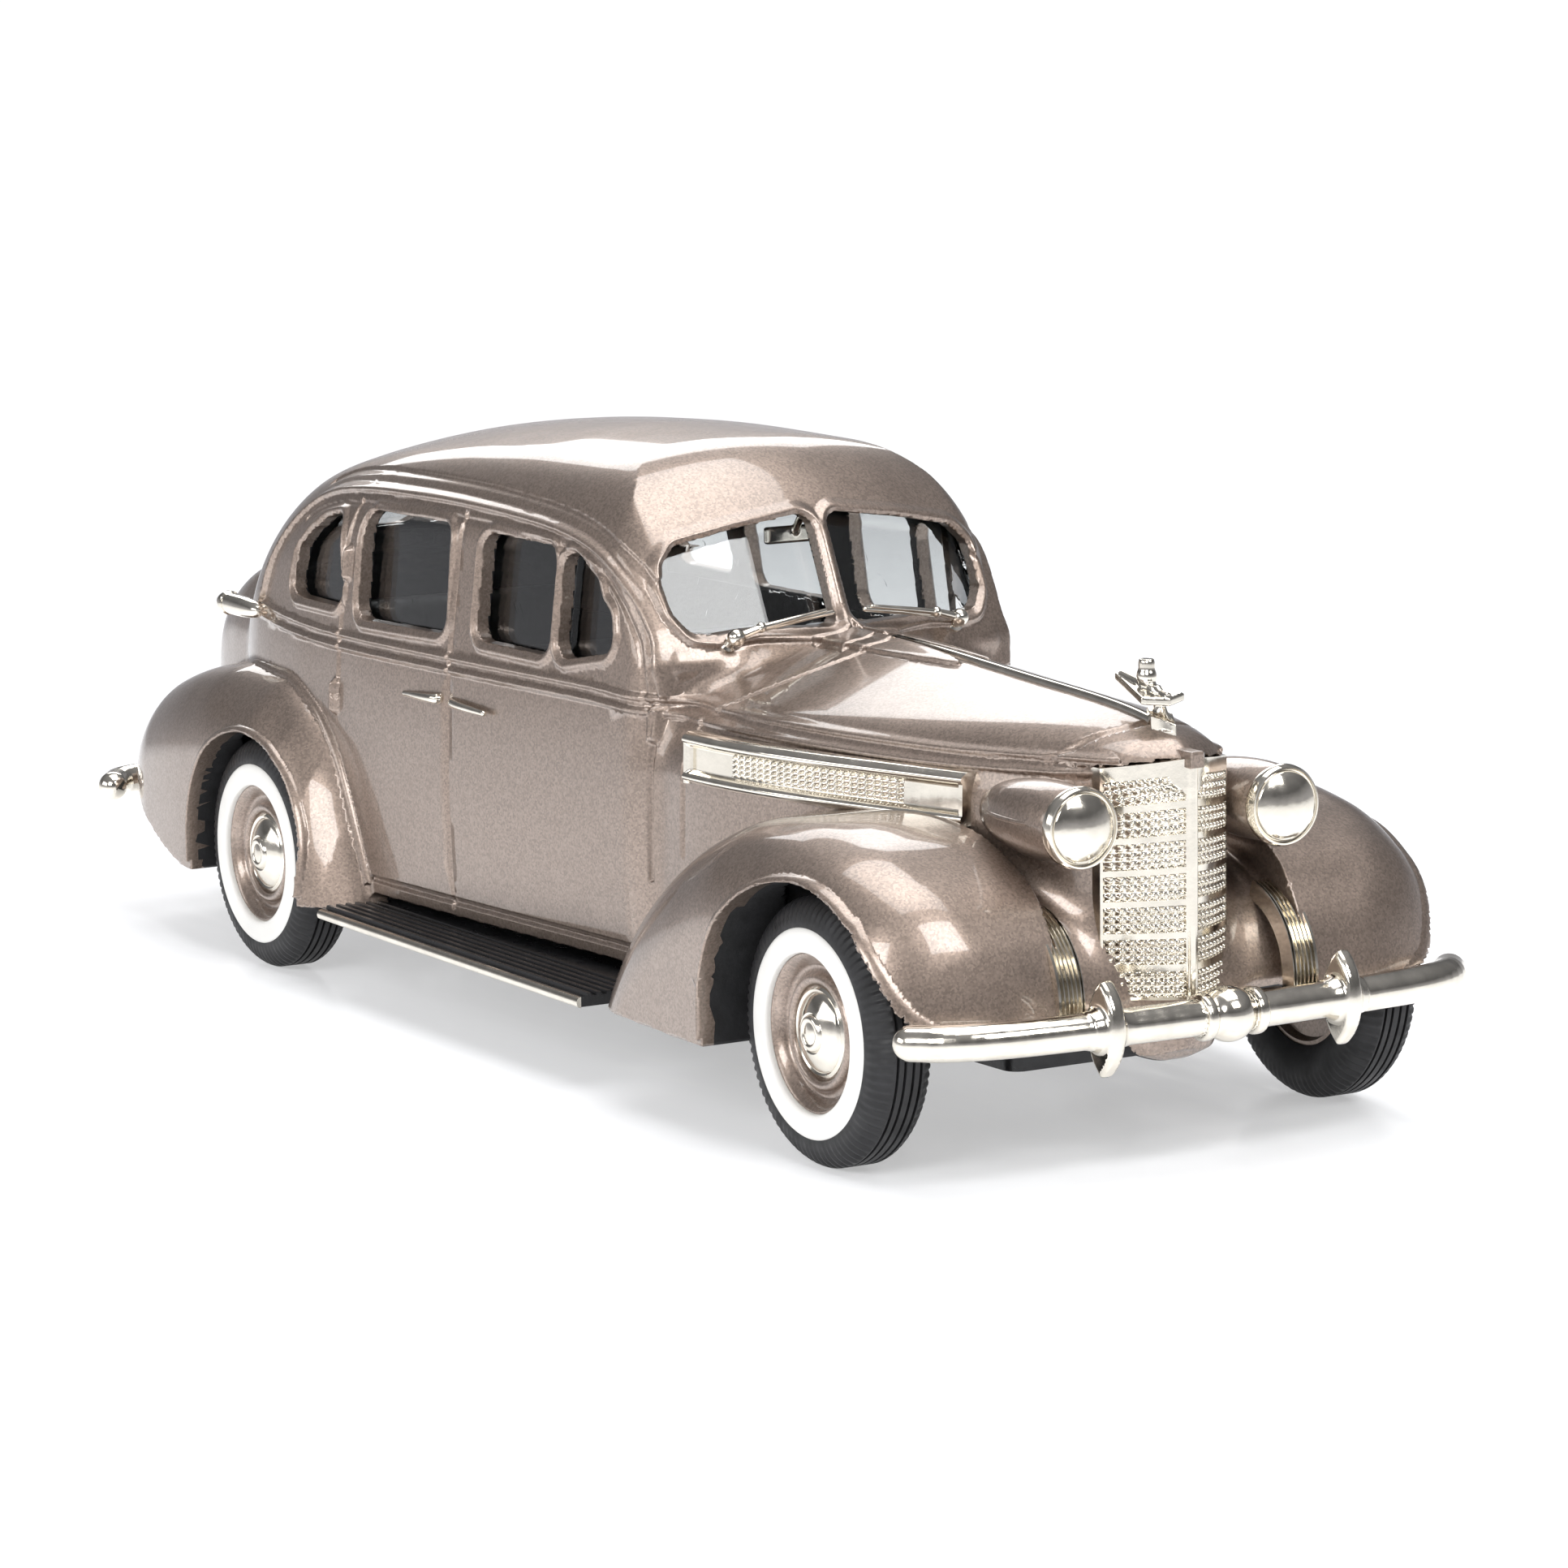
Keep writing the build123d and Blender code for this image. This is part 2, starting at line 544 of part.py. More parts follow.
def front_bumper():
    """Round bar swept back at its ends, with a centre ball and two blade guards."""
    run = [(54.0, -18.7, 9.1), (56.1, -16.6, 9.2), (57.2, -12.5, 9.3), (57.75, -6.5, 9.35), (57.9, 0, 9.35)]
    run += [(x, -y, z) for x, y, z in reversed(run[:-1])]
    path = Spline([Vector(*p) for p in run])
    start = Plane(origin=path @ 0, z_dir=path % 0)
    bar = sweep(start * Circle(1.05), path=path)
    for x, y, z in (run[0], run[-1]):
        bar += Pos(x, y, z) * Sphere(1.05)
    bar += Pos(57.9, 0, 9.35) * Sphere(1.65)
    for side in (1, -1):
        bar += across(57.88, side * 1.75, 9.35, 1.4, 0.45)
        blade = Pos(57.9, 0, 9.35) * Rot(90, 0, 0) * extrude(Ellipse(1.3, 2.65), amount=0.55, both=True)
        bar += Pos(-0.1, side * 8.16, 0) * blade
        bar += across(57.65, side * 8.16, 9.35, 1.35, 2.2)
    return bar


def front_brackets():
    """Two flat arms that carry the front bumper."""
    arms = [box((51.0, y - 0.8, 8.1), (57.0, y + 0.8, 9.3)) for y in (-5.6, 5.6)]
    return Compound(children=[a - front_bumper() for a in arms])


def rear_bumper():
    """Round bar swept forward at its ends, with two blade guards."""
    run = [(-54.6, -18.6, 9.2), (-57.0, -16.8, 9.2), (-57.9, -12, 9.2), (-58.2, -6, 9.2), (-58.25, 0, 9.2)]
    run += [(x, -y, z) for x, y, z in reversed(run[:-1])]
    path = Spline([Vector(*p) for p in run])
    start = Plane(origin=path @ 0, z_dir=path % 0)
    bar = sweep(start * Circle(1.05), path=path)
    for x, y, z in (run[0], run[-1]):
        bar += Pos(x, y, z) * Sphere(1.05)
    for side in (1, -1):
        blade = Pos(-58.0, 0, 9.3) * Rot(90, 0, 0) * extrude(Ellipse(1.3, 2.65), amount=0.55, both=True)
        bar += Pos(0, side * 8.16, 0) * blade
        bar += across(-58.05, side * 8.16, 9.2, 1.35, 2.2)
    return bar


def rear_brackets():
    """Two flat arms that carry the rear bumper."""
    arms = [box((-57.4, y - 0.8, 8.3), (-50.0, y + 0.8, 9.5)) for y in (-6.0, 6.0)]
    return Compound(children=[a - rear_bumper() for a in arms])


# ---------------------------------------------------------------- assembly
HANDLES = {"rear_door_handle": (-10.5, 15.35, 20.8, 1.5), "front_door_handle": (-4.7, 15.0, 20.7, -1.5)}

nodes = {}
fitted = {
    "grille": grille(),
    "hood_strip": hood_strip(),
    "hood_ornament": ornament(),
    "front_bumper_brackets": front_brackets(),
    "rear_bumper_brackets": rear_brackets(),
}
paired = {
    "headlight_pod": headlight_pod(),
    "headlight_lens": headlight_lens(),
    "hood_louvre": louvre(),
    "fender_vent": fender_vent(),
    "tail_light": tail_light(),
    "running_board": running_board(),
}
for name, place in HANDLES.items():
    paired[name] = door_handle(*place)
for name, piece in paired.items():
    fitted[name + "_left"] = piece
    fitted[name + "_right"] = mirrored(piece)
fitted["wiper_left"] = wiper(1)
fitted["wiper_right"] = wiper(-1)
fitted["hood_ornament"] -= fitted["hood_strip"]
for word in ("left", "right"):
    fitted["headlight_pod_" + word] -= fitted["headlight_lens_" + word]

nodes["body_shell"] = make_body(list(fitted.values()))
nodes.update(fitted)
windscreen, side_glass, back_glass = make_glazing()
nodes["windscreen"] = windscreen
nodes["side_glass_left"] = side_glass
nodes["side_glass_right"] = mirrored(side_glass)
nodes["rear_screen"] = back_glass
nodes["running_board_trim_left"] = board_trim()
nodes["running_board_trim_right"] = mirrored(board_trim())
nodes["front_bumper"] = front_bumper()
nodes["rear_bumper"] = rear_bumper()
nodes["baseplate"] = baseplate()
nodes["baseplate_screws"] = screws()
nodes["interior_tub"] = interior_tub()
nodes["rear_seat"] = bench(-37.0, 10.8, 12.5, 11.0)
nodes["front_seat"] = bench(-9.0, 10.8, 12.5, 10.0)
nodes["dashboard"] = dashboard()
nodes["steering_wheel"] = steering_wheel()
nodes["dashboard"] -= nodes["steering_wheel"]
nodes["rear_view_mirror"] = mirror_inside()
nodes.update(wheel_set("front", FRONT_AXLE_X))
nodes.update(wheel_set("rear", REAR_AXLE_X))

for name, shape in nodes.items():
    export_step(shape, "parts/" + name + ".step")
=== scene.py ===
import functools
import json
import math

import bmesh
import bpy
import numpy as np
import openvdb
from mathutils import Matrix, Vector


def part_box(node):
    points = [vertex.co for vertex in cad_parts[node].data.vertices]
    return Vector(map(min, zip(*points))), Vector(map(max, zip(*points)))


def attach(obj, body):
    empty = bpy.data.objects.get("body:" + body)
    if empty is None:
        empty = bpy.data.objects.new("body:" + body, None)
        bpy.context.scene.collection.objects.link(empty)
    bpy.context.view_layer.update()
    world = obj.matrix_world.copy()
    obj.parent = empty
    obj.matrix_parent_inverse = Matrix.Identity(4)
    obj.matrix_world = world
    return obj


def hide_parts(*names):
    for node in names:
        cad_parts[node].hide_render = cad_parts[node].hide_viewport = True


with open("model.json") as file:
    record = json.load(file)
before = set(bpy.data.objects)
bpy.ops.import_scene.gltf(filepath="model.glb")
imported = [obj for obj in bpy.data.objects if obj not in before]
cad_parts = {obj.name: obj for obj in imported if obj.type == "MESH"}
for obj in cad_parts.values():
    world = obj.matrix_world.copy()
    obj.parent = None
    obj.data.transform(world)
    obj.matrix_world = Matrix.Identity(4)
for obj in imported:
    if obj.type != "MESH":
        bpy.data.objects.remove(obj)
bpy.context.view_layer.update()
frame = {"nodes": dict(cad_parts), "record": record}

# Shapes below are worked out in millimetres and turned into metres when a mesh is made.
MM = 0.001
# Sampling step of the body casting, and how much its flat areas may be thinned.
VOXEL = 0.18
FLATNESS = 0.004
WALL = 1.0
SILL_Z = 6.6
BELT_Z = 23.4
TUMBLEHOME = 0.125
ARCH_R = {"front": 8.85, "rear": 8.4}
WELL_R = {"front": 9.2, "rear": 8.8}
WELL_IN = 13.9
WELL_OUT = 18.0
FENDER_FOOT = 5.8
FOOT_RISE = 3.2
GRILLE_HALF = 4.4
GRILLE_FOOT = 9.6
GRILLE_TOP = 23.6


def box_mm(node):
    """The low and high corners of a CAD node."""
    return [[v / MM for v in corner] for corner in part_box(node)]


def centre_mm(node):
    return [(a + b) / 2 for a, b in zip(*box_mm(node))]


AXLES = {end: centre_mm(end + "_axle") for end in ("front", "rear")}
SIDES = {"left": 1, "right": -1}
BODIES = frame["record"]["behaviour"]["bodies"]
BODY_OF = {node: body for body, nodes in BODIES.items() for node in nodes}


# ---- curves and blends
class Curve:
    """A smooth function through (x, value) points that never overshoots them."""

    def __init__(self, points):
        self.x = np.array([p[0] for p in points], float)
        self.v = np.array([p[1] for p in points], float)
        self.step = np.diff(self.x)
        rate = np.diff(self.v) / self.step
        slope = np.zeros(len(self.x))
        slope[0], slope[-1] = rate[0], rate[-1]
        for i in range(1, len(rate)):
            if rate[i - 1] * rate[i] > 0:
                w_before = 2 * self.step[i] + self.step[i - 1]
                w_after = self.step[i] + 2 * self.step[i - 1]
                slope[i] = (w_before + w_after) / (w_before / rate[i - 1] + w_after / rate[i])
        self.slope = slope

    def __call__(self, x):
        x = np.clip(x, self.x[0], self.x[-1])
        i = np.clip(np.searchsorted(self.x, x, side="right") - 1, 0, len(self.step) - 1)
        t = (x - self.x[i]) / self.step[i]
        left = self.v[i] * (1 + 2 * t) + self.slope[i] * self.step[i] * t
        right = self.v[i + 1] * (3 - 2 * t) - self.slope[i + 1] * self.step[i] * (1 - t)
        return left * (1 - t) ** 2 + right * t * t

    def steepness(self, x):
        """Length of the curve per unit of x."""
        rate = (self(x + 0.05) - self(x - 0.05)) / 0.1
        return np.sqrt(1 + rate * rate)


def common(*fields):
    """The space that all the fields share."""
    return functools.reduce(np.maximum, fields)


def rounded(fields, radius):
    """The space that all the fields share, with the edges between them rounded to the radius."""
    total = np.sqrt(sum(np.maximum(f + radius, 0) ** 2 for f in fields)) - radius
    return np.where(total > -radius, total, common(*fields))


def blended(a, b, size):
    """Join two fields with a small fillet."""
    h = np.clip(0.5 + 0.5 * (b - a) / size, 0, 1)
    return b * (1 - h) + a * h - size * h * (1 - h)


def softened(points, rounds=2, closed=False):
    """Corner cutting: the same run of points with its corners rounded off."""
    points = [np.array(p, float) for p in points]
    for _ in range(rounds):
        following = points[1:] + points[:1] if closed else points[1:]
        cut = [q for a, b in zip(points, following) for q in (0.75 * a + 0.25 * b, 0.25 * a + 0.75 * b)]
        points = cut if closed else [points[0]] + cut + [points[-1]]
    return points


def smooth_step(value, low, high):
    t = np.clip((value - low) / (high - low), 0, 1)
    return t * t * (3 - 2 * t)


def hump(distance, half_width):
    """A smooth ridge profile: 1 on the line, 0 beyond its half width."""
    t = np.clip(distance / half_width, -1, 1)
    return (1 - t * t) ** 2


def line_distance(u, v, points):
    """Distance to an open run of points in the (u, v) plane."""
    best = np.full(np.broadcast(u, v).shape, 1e9)
    for (u0, v0), (u1, v1) in zip(points, points[1:]):
        du, dv = u1 - u0, v1 - v0
        t = np.clip(((u - u0) * du + (v - v0) * dv) / (du * du + dv * dv), 0, 1)
        best = np.minimum(best, np.hypot(u - u0 - t * du, v - v0 - t * dv))
    return best


def raised_by(where, distance, height, half_width):
    """Height of a moulding that follows the line where the distance is zero."""
    return np.where(where, height * hump(distance, half_width), 0)


def polygon_distance(u, v, points):
    """Signed distance to a polygon in the (u, v) plane, negative inside."""
    closed = points + points[:1]
    best = line_distance(u, v, closed)
    inside = np.zeros(best.shape, bool)
    for (u0, v0), (u1, v1) in zip(closed, closed[1:]):
        du, dv = u1 - u0, v1 - v0
        crosses = ((v0 > v) != (v1 > v)) & (u < du * (v - v0) / (dv if dv else 1e-9) + u0)
        inside ^= crosses
    return np.where(inside, -best, best)


def rounded_polygon(u, v, points, radius):
    """Polygon distance with its corners rounded."""
    away = np.array(points) - np.mean(points, axis=0)
    pull = 1.3 * radius
    shrunk = np.array(points) - away / np.linalg.norm(away, axis=1, keepdims=True) * pull
    return polygon_distance(u, v, shrunk.tolist()) - radius


# ---- body shape
cabin_width = Curve([(-46.2, 9.8), (-43.3, 12.6), (-40, 14.2), (-36, 15.4), (-32, 15.9), (-27, 16.15),
                     (-20, 16.1), (-7, 15.4), (5, 14.5), (15.5, 13.6), (19.6, 13.0)])
roof_height = Curve([(-47, 20.5), (-45.2, 24.6), (-42.3, 28.7), (-38.5, 31.9), (-33.3, 34.5), (-27, 36.1),
                     (-20, 37.2), (-12, 37.9), (-4, 38.2), (4, 38.15), (10, 37.6), (16, 36.6)])
hood_width = Curve([(10, 12.3), (15, 12.9), (19.6, 13.0), (52.5, 4.9), (54, 4.5)])
hood_height = Curve([(10, 27.0), (22, 26.9), (38.5, 26.15), (46, 25.75), (50, 25.3), (52.5, 24.7),
                     (54.2, 23.9), (56, 22.5)])
trunk_width = Curve([(-59.5, 7.0), (-55.5, 9.5), (-50, 11.5), (-40, 13.2), (-30, 14)])
trunk_height = Curve([(-58.6, 12), (-57.2, 18), (-54.9, 22.6), (-51.6, 25.4), (-47, 26.9), (-40, 27.4),
                      (-34, 27.4)])
catwalk_height = Curve([(38, 17.4), (44, 16.6), (48, 15.4), (51, 13.0), (53, 9.6), (54, 6.5)])
front_crown = Curve([(17.3, 5.0), (18.5, 7.2), (21, 11.0), (25, 14.6), (30, 17.4), (35, 19.0),
                     (40, 19.4), (45, 18.8), (49.5, 17.2), (52.7, 14.8), (54.8, 11.4), (56, 8)])
front_side = Curve([(17, 20.0), (24, 20.6), (44, 21.2), (49, 20.7), (52, 19.4), (55, 16.6)])
rear_crown = Curve([(-57.5, 9), (-56, 12.4), (-52.5, 15.9), (-47, 18.0), (-41, 19.4), (-35, 20.2),
                    (-30, 20.2), (-25.5, 18.8), (-22.4, 16.2), (-20, 12.2), (-18.4, 8), (-17.8, 6)])
rear_side = Curve([(-57, 14.8), (-53, 17.4), (-47, 19.4), (-36, 20.2), (-22, 20.3), (-18, 19.6)])
belt_line = Curve([(-36, 24.0), (-30, 23.5), (-22, 23.2), (-7, 23.2), (8, 23.2), (15, 22.95), (19.6, 22.8),
                   (38.5, 22.65), (52.4, 23.1)])

QUARTER_LIGHT = [(-29.7, 25.5), (-22.2, 25.7), (-23.4, 31.1), (-25.6, 31.2), (-27.4, 30.7), (-28.9, 29.5),
                 (-29.8, 27.6)]
REAR_DOOR_LIGHT = [(-20.1, 25.3), (-8.1, 25.5), (-8.5, 31.7), (-20.3, 31.6)]
FRONT_DOOR_LIGHT = [(-4.7, 25.3), (4.2, 25.2), (4.2, 31.5), (-4.7, 31.7)]
VENT_LIGHT = [(4.9, 25.2), (9.8, 25.3), (11.1, 25.8), (11.2, 27.0), (10.5, 28.4), (9.3, 29.7), (7.7, 30.7),
              (4.9, 31.4)]
WINDSCREEN = [(0.35, 27.7), (5.5, 27.3), (9.3, 26.95), (10.7, 27.3), (11.4, 28.3), (11.6, 29.9),
              (11.4, 31.2), (10.5, 32.3), (9.0, 32.85), (5.0, 33.2), (0.35, 33.4)]
REAR_SCREEN = [(0.4, 28.2), (6.1, 28.0), (6.8, 28.6), (6.8, 30.5), (6.1, 31.3), (0.4, 31.9)]
DRIP_RAIL_KNOTS = [(15.6, 23.6), (15.0, 26.6), (13.6, 28.6), (12.3, 30.0), (9.8, 31.7), (4.8, 32.95),
                   (-3.7, 33.5), (-12, 33.65), (-22, 33.4), (-28.5, 32.6), (-32.0, 30.6), (-34.2, 27.5),
                   (-35.4, 24.4)]
DRIP_RAIL = [tuple(p) for p in softened(DRIP_RAIL_KNOTS)]
HINGE_LUGS = [(-22.4, 19.4), (15.25, 21.8), (-21.6, 28.4)]


def grille_top(y):
    return GRILLE_TOP - 0.14 * np.abs(y)


def cabin(x, y, z):
    lean = np.maximum(z - BELT_Z, 0) * TUMBLEHOME
    belly = np.where(z < BELT_Z, 0.35 * (1 - ((z - 15) / 8.4) ** 2), 0)
    side = y - (cabin_width(x) - lean + belly)
    roof = (z - roof_height(x) + 0.013 * y * y) / roof_height.steepness(x)
    screen = 16.4 - (z - 27.5) * 0.49 - 0.0115 * y * y
    scuttle = 17.4 - 0.0115 * y * y
    above = smooth_step(z, 24.4, 26.6)
    front = (x - scuttle * (1 - above) - screen * above) * 0.89
    shell = rounded([rounded([side, front], 1.9), roof], 4.5)
    return rounded([shell, -46.1 - x], 3.0)


def hood(x, y, z):
    side = y - hood_width(x) - 0.02 * (BELT_Z - z)
    top = (z - hood_height(x) + 0.22 * np.sqrt(y * y + 0.3) + 0.012 * y * y - 0.1) * 0.96
    tip = np.where(z > grille_top(y), 55.1, 53.75)
    nose = (x - (tip - 0.45 * np.sqrt(y * y + 0.05) - 0.055 * y * y)) * 0.85
    sides = rounded([rounded([side, top], 3.2), nose], 0.9)
    return common(sides, rounded([top, nose], 2.0), 12 - x)


def trunk(x, y, z):
    top = (z - trunk_height(x) + 0.02 * y * y) / trunk_height.steepness(x)
    return np.maximum(rounded([y - trunk_width(x), top, -56.9 - x], 3.2), x + 32)


def main_body(x, y, z):
    return blended(blended(cabin(x, y, z), hood(x, y, z), 1.5), trunk(x, y, z), 1.2)


def catwalk(x, y, z):
    top = (z - catwalk_height(x) - 0.02 * (y - 8) ** 2) / catwalk_height.steepness(x)
    return np.maximum(rounded([top, x - 53.6 + 0.03 * np.maximum(y - 6, 0) ** 2], 3.0), y - 13)


def front_fender(x, y, z):
    drop = 0.012 * np.maximum(y - 13.5, 0) ** 2
    top = (z - front_crown(x) + drop) / front_crown.steepness(x)
    return np.maximum(rounded([top, y - front_side(x), x - 55.5], 5.5), 8.5 - y)


def rear_fender(x, y, z):
    drop = 0.03 * np.maximum(y - 14, 0) ** 2
    top = (z - rear_crown(x) + drop) / rear_crown.steepness(x)
    return np.maximum(rounded([top, y - rear_side(x), -56.3 - x], 5.0), 11 - y)


# ---- mesh helpers
def new_object(name, points, faces, normals=None):
    """A mesh object from millimetre points, with normals of its own or smooth up to sharp edges."""
    mesh = bpy.data.meshes.new(name)
    mesh.from_pydata((np.asarray(points, float) * MM).tolist(), [], faces)
    mesh.polygons.foreach_set("use_smooth", [True] * len(mesh.polygons))
    if normals is None:
        tidy = bmesh.new()
        tidy.from_mesh(mesh)
        bmesh.ops.remove_doubles(tidy, verts=tidy.verts, dist=1e-7)
        bmesh.ops.dissolve_degenerate(tidy, edges=tidy.edges, dist=1e-7)
        bmesh.ops.recalc_face_normals(tidy, faces=tidy.faces)
        tidy.to_mesh(mesh)
        tidy.free()
        mesh.set_sharp_from_angle(angle=math.radians(40))
    else:
        mesh.normals_split_custom_set_from_vertices(normals.tolist())
    obj = bpy.data.objects.new(name, mesh)
    bpy.context.scene.collection.objects.link(obj)
    return obj


def finished(node, parts, material, also=()):
    """The finished piece that stands for a CAD node, riding on the body that the record gives it."""
    points, faces, normals = [], [], []
    for part in parts:
        start = sum(len(p) for p in points)
        points.append(np.asarray(part[0], float))
        faces += [tuple(k + start for k in face) for face in part[1]]
        normals.append(part[2] if len(part) > 2 else None)
    own_normals = None if any(n is None for n in normals) else np.concatenate(normals)
    obj = new_object(node + "_finished", np.concatenate(points), faces, own_normals)
    obj.data.materials.append(material)
    for extra in also:
        obj.data.materials.append(extra)
    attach(obj, BODY_OF[node])
    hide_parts(node)
    return obj


def polygonise(values, origin, step):
    """Points and faces of the zero surface of a sampled field."""
    grid = openvdb.FloatGrid(background=3 * step)
    grid.copyFromArray(np.clip(values, -3 * step, 3 * step).astype(np.float32))
    points, triangles, quads = grid.convertToPolygons(isovalue=0.0, adaptivity=FLATNESS)
    points = points * step + np.array(origin)
    return points, quads.tolist() + triangles.tolist()


def settled(field, points, step):
    """The points moved onto the field's exact surface, and the surface normals there."""
    x, y, z = (points[:, k].astype(float) for k in range(3))
    h = 0.04
    for _ in range(3):
        slope = np.stack([field(x + h, y, z) - field(x - h, y, z),
                          field(x, y + h, z) - field(x, y - h, z),
                          field(x, y, z + h) - field(x, y, z - h)]) / (2 * h)
        length = np.maximum(np.linalg.norm(slope, axis=0), 0.3)
        shift = np.clip(-field(x, y, z) / length, -0.35 * step, 0.35 * step)
        x, y, z = np.stack([x, y, z]) + slope / length * shift
    normals = (slope / np.maximum(np.linalg.norm(slope, axis=0), 1e-6)).T
    return np.stack([x, y, z], axis=1), normals


def field_part(field, low, high, step, margin=0):
    """Points, faces and normals of a field's zero surface inside a box, widened by the margin."""
    low = [v - margin for v in low]
    high = [v + margin for v in high]
    x, y, z = (np.arange(a, b + step, step) for a, b in zip(low, high))
    values = field(x[:, None, None], y[None, :, None], z[None, None, :])
    values = np.broadcast_to(values, (len(x), len(y), len(z)))
    points, faces = polygonise(values, low, step)
    points, normals = settled(field, points, step)
    return points, faces, normals


def flipped(part):
    """The same part on the other side of the car."""
    flip = np.array([1.0, -1.0, 1.0])
    faces = [tuple(face[::-1]) for face in part[1]]
    return (np.asarray(part[0]) * flip, faces) + tuple(n * flip for n in part[2:])


def grid_faces(rows, columns, wrap_rows=False, wrap_columns=False):
    """Quads between the points of a grid, numbered row by row."""
    faces = []
    for i in range(rows if wrap_rows else rows - 1):
        for j in range(columns if wrap_columns else columns - 1):
            a, b = i * columns, (i + 1) % rows * columns
            k = (j + 1) % columns
            faces.append((a + j, a + k, b + k, b + j))
    return faces


def lathe(profile, origin, axis, segments=96, closed=False, ripple=None):
    """A turned part: (radius, distance along the axis) points swept round the axis."""
    axis = Vector(axis).normalized()
    across = axis.orthogonal().normalized()
    other = axis.cross(across)
    points = []
    for k in range(segments):
        angle = 2 * math.pi * k / segments
        out = across * math.cos(angle) + other * math.sin(angle)
        for i, (radius, along) in enumerate(profile):
            r = radius + (ripple(radius, along, k) if ripple else 0)
            points.append(tuple(Vector(origin) + out * r + axis * along))
    return np.array(points), grid_faces(segments, len(profile), True, closed)


def crossways(path, i, up):
    """Sideways and outward directions of a path at one of its points."""
    ahead = (path[min(i + 1, len(path) - 1)] - path[max(i - 1, 0)]).normalized()
    side = ahead.cross(Vector(up)).normalized()
    return side, side.cross(ahead)


def capped_faces(rows, columns):
    """Quads round a tube of closed rows, with a flat face at each end."""
    last = (rows - 1) * columns
    ends = [tuple(range(columns)), tuple(range(last, last + columns))]
    return grid_faces(rows, columns, False, True) + ends


def swept(path, section, up=(0, 0, 1)):
    """A closed section of (sideways, outward) points carried along a path, with flat ends."""
    path = [Vector(p) for p in path]
    points = []
    for i, p in enumerate(path):
        side, out = crossways(path, i, up)
        points += [tuple(p + side * a + out * b) for a, b in section]
    return np.array(points), capped_faces(len(path), len(section))


ROUND_END = ((1.0, 0.02), (0.8, 0.6), (0.45, 0.9))


def tube(path, radii, sides=20):
    """A round rod with a radius at each point of its path, closed by rounded ends."""
    path = [Vector(p) for p in path]
    start, end = (path[0] - path[1]).normalized(), (path[-1] - path[-2]).normalized()
    stations = [(path[0] + start * radii[0] * a, radii[0] * b) for a, b in ROUND_END]
    stations += list(zip(path, radii))
    stations += [(path[-1] + end * radii[-1] * a, radii[-1] * b) for a, b in reversed(ROUND_END)]
    centres = [p for p, _ in stations]
    points = []
    for i, (p, radius) in enumerate(stations):
        side, out = crossways(centres, i, (0.05, 0.1, 1))
        for k in range(sides):
            angle = 2 * math.pi * k / sides
            points.append(tuple(p + (side * math.cos(angle) + out * math.sin(angle)) * radius))
    return np.array(points), capped_faces(len(stations), sides)


def sheet(u, v, place, back):
    """A closed plate over a (u, v) grid: place() gives its front, and back() the plane behind it."""
    uu, vv = np.meshgrid(u, v, indexing="ij")
    front = np.stack(place(uu, vv), axis=-1).reshape(-1, 3)
    rear = np.stack(back(uu, vv), axis=-1).reshape(-1, 3)
    rows, columns = uu.shape
    rim = [(0, j) for j in range(columns)] + [(i, columns - 1) for i in range(1, rows)]
    rim += [(rows - 1, j) for j in range(columns - 2, -1, -1)] + [(i, 0) for i in range(rows - 2, 0, -1)]
    rim = [i * columns + j for i, j in rim]
    start = len(front)
    faces = grid_faces(rows, columns)
    for k in range(len(rim)):
        following = (k + 1) % len(rim)
        faces.append((rim[k], rim[following], start + following, start + k))
    faces.append(tuple(range(start, start + len(rim))))
    return np.concatenate([front, rear[rim]]), faces


def ball(centre, radius, stretch=(1, 1, 1)):
    """A round knob, stretched along the axes."""
    turns = 16
    profile = [(radius * math.sin(math.pi * k / turns), -radius * math.cos(math.pi * k / turns))
               for k in range(turns + 1)]
    points, faces = lathe(profile, (0, 0, 0), (0, 0, 1), 24)
    return points * np.array(stretch) + np.array(centre), faces


# ---- body casting
CUT = 0.3
CUT_DEPTH = 0.24
# Faces this far under the skin are coloured near black as painted shade for the unlit inside.
SHADE_PAINT_DEPTH = 0.9
# Upright shut lines on the sides: (x, lower end, upper end).
DOOR_CUTS = ((-7.55, 7.0, 33.0), (-22.1, 19.5, 32.6), (15.2, 12.0, 22.6), (18.8, 14.0, 22.5))


def shut_lines(x, y, z):
    """Depth of the door, sill, hood, trunk and cowl vent lines."""
    on_side = y > 9
    hood_top = z > 22.9
    cowl = (x - 23.0 + 0.028 * y * y) * 0.96
    nose = (x - 50.4 + 0.085 * y * y) * 0.8
    lid = rounded([y - 8.6, x + 43.6, 9.5 - z], 2.2)
    vent = polygon_distance(x, y, [(17.9, -3.0), (20.9, -3.0), (20.9, 3.0), (17.9, 3.0)])
    lines = [(on_side & (x > -20) & (x < 18), z - 7.6), (hood_top & (x > 12), cowl),
             (hood_top & (x > 40), nose), (x < -42, lid), (z > 25.5, vent)]
    for line_x, low, high in DOOR_CUTS:
        lines.append((on_side & (z > low) & (z < high), x - line_x))
    return CUT_DEPTH * np.minimum(sum(raised_by(where, distance, 1, CUT) for where, distance in lines), 1)


def window_outlines(x, y, z):
    """Distance to the nearest glazed opening, on the sides, the front and the back."""
    lights = (QUARTER_LIGHT, REAR_DOOR_LIGHT, FRONT_DOOR_LIGHT, VENT_LIGHT)
    side = functools.reduce(np.minimum, [rounded_polygon(x, z, outline, 1.15) for outline in lights])
    return side, rounded_polygon(y, z, WINDSCREEN, 0.9), rounded_polygon(y, z, REAR_SCREEN, 0.9)


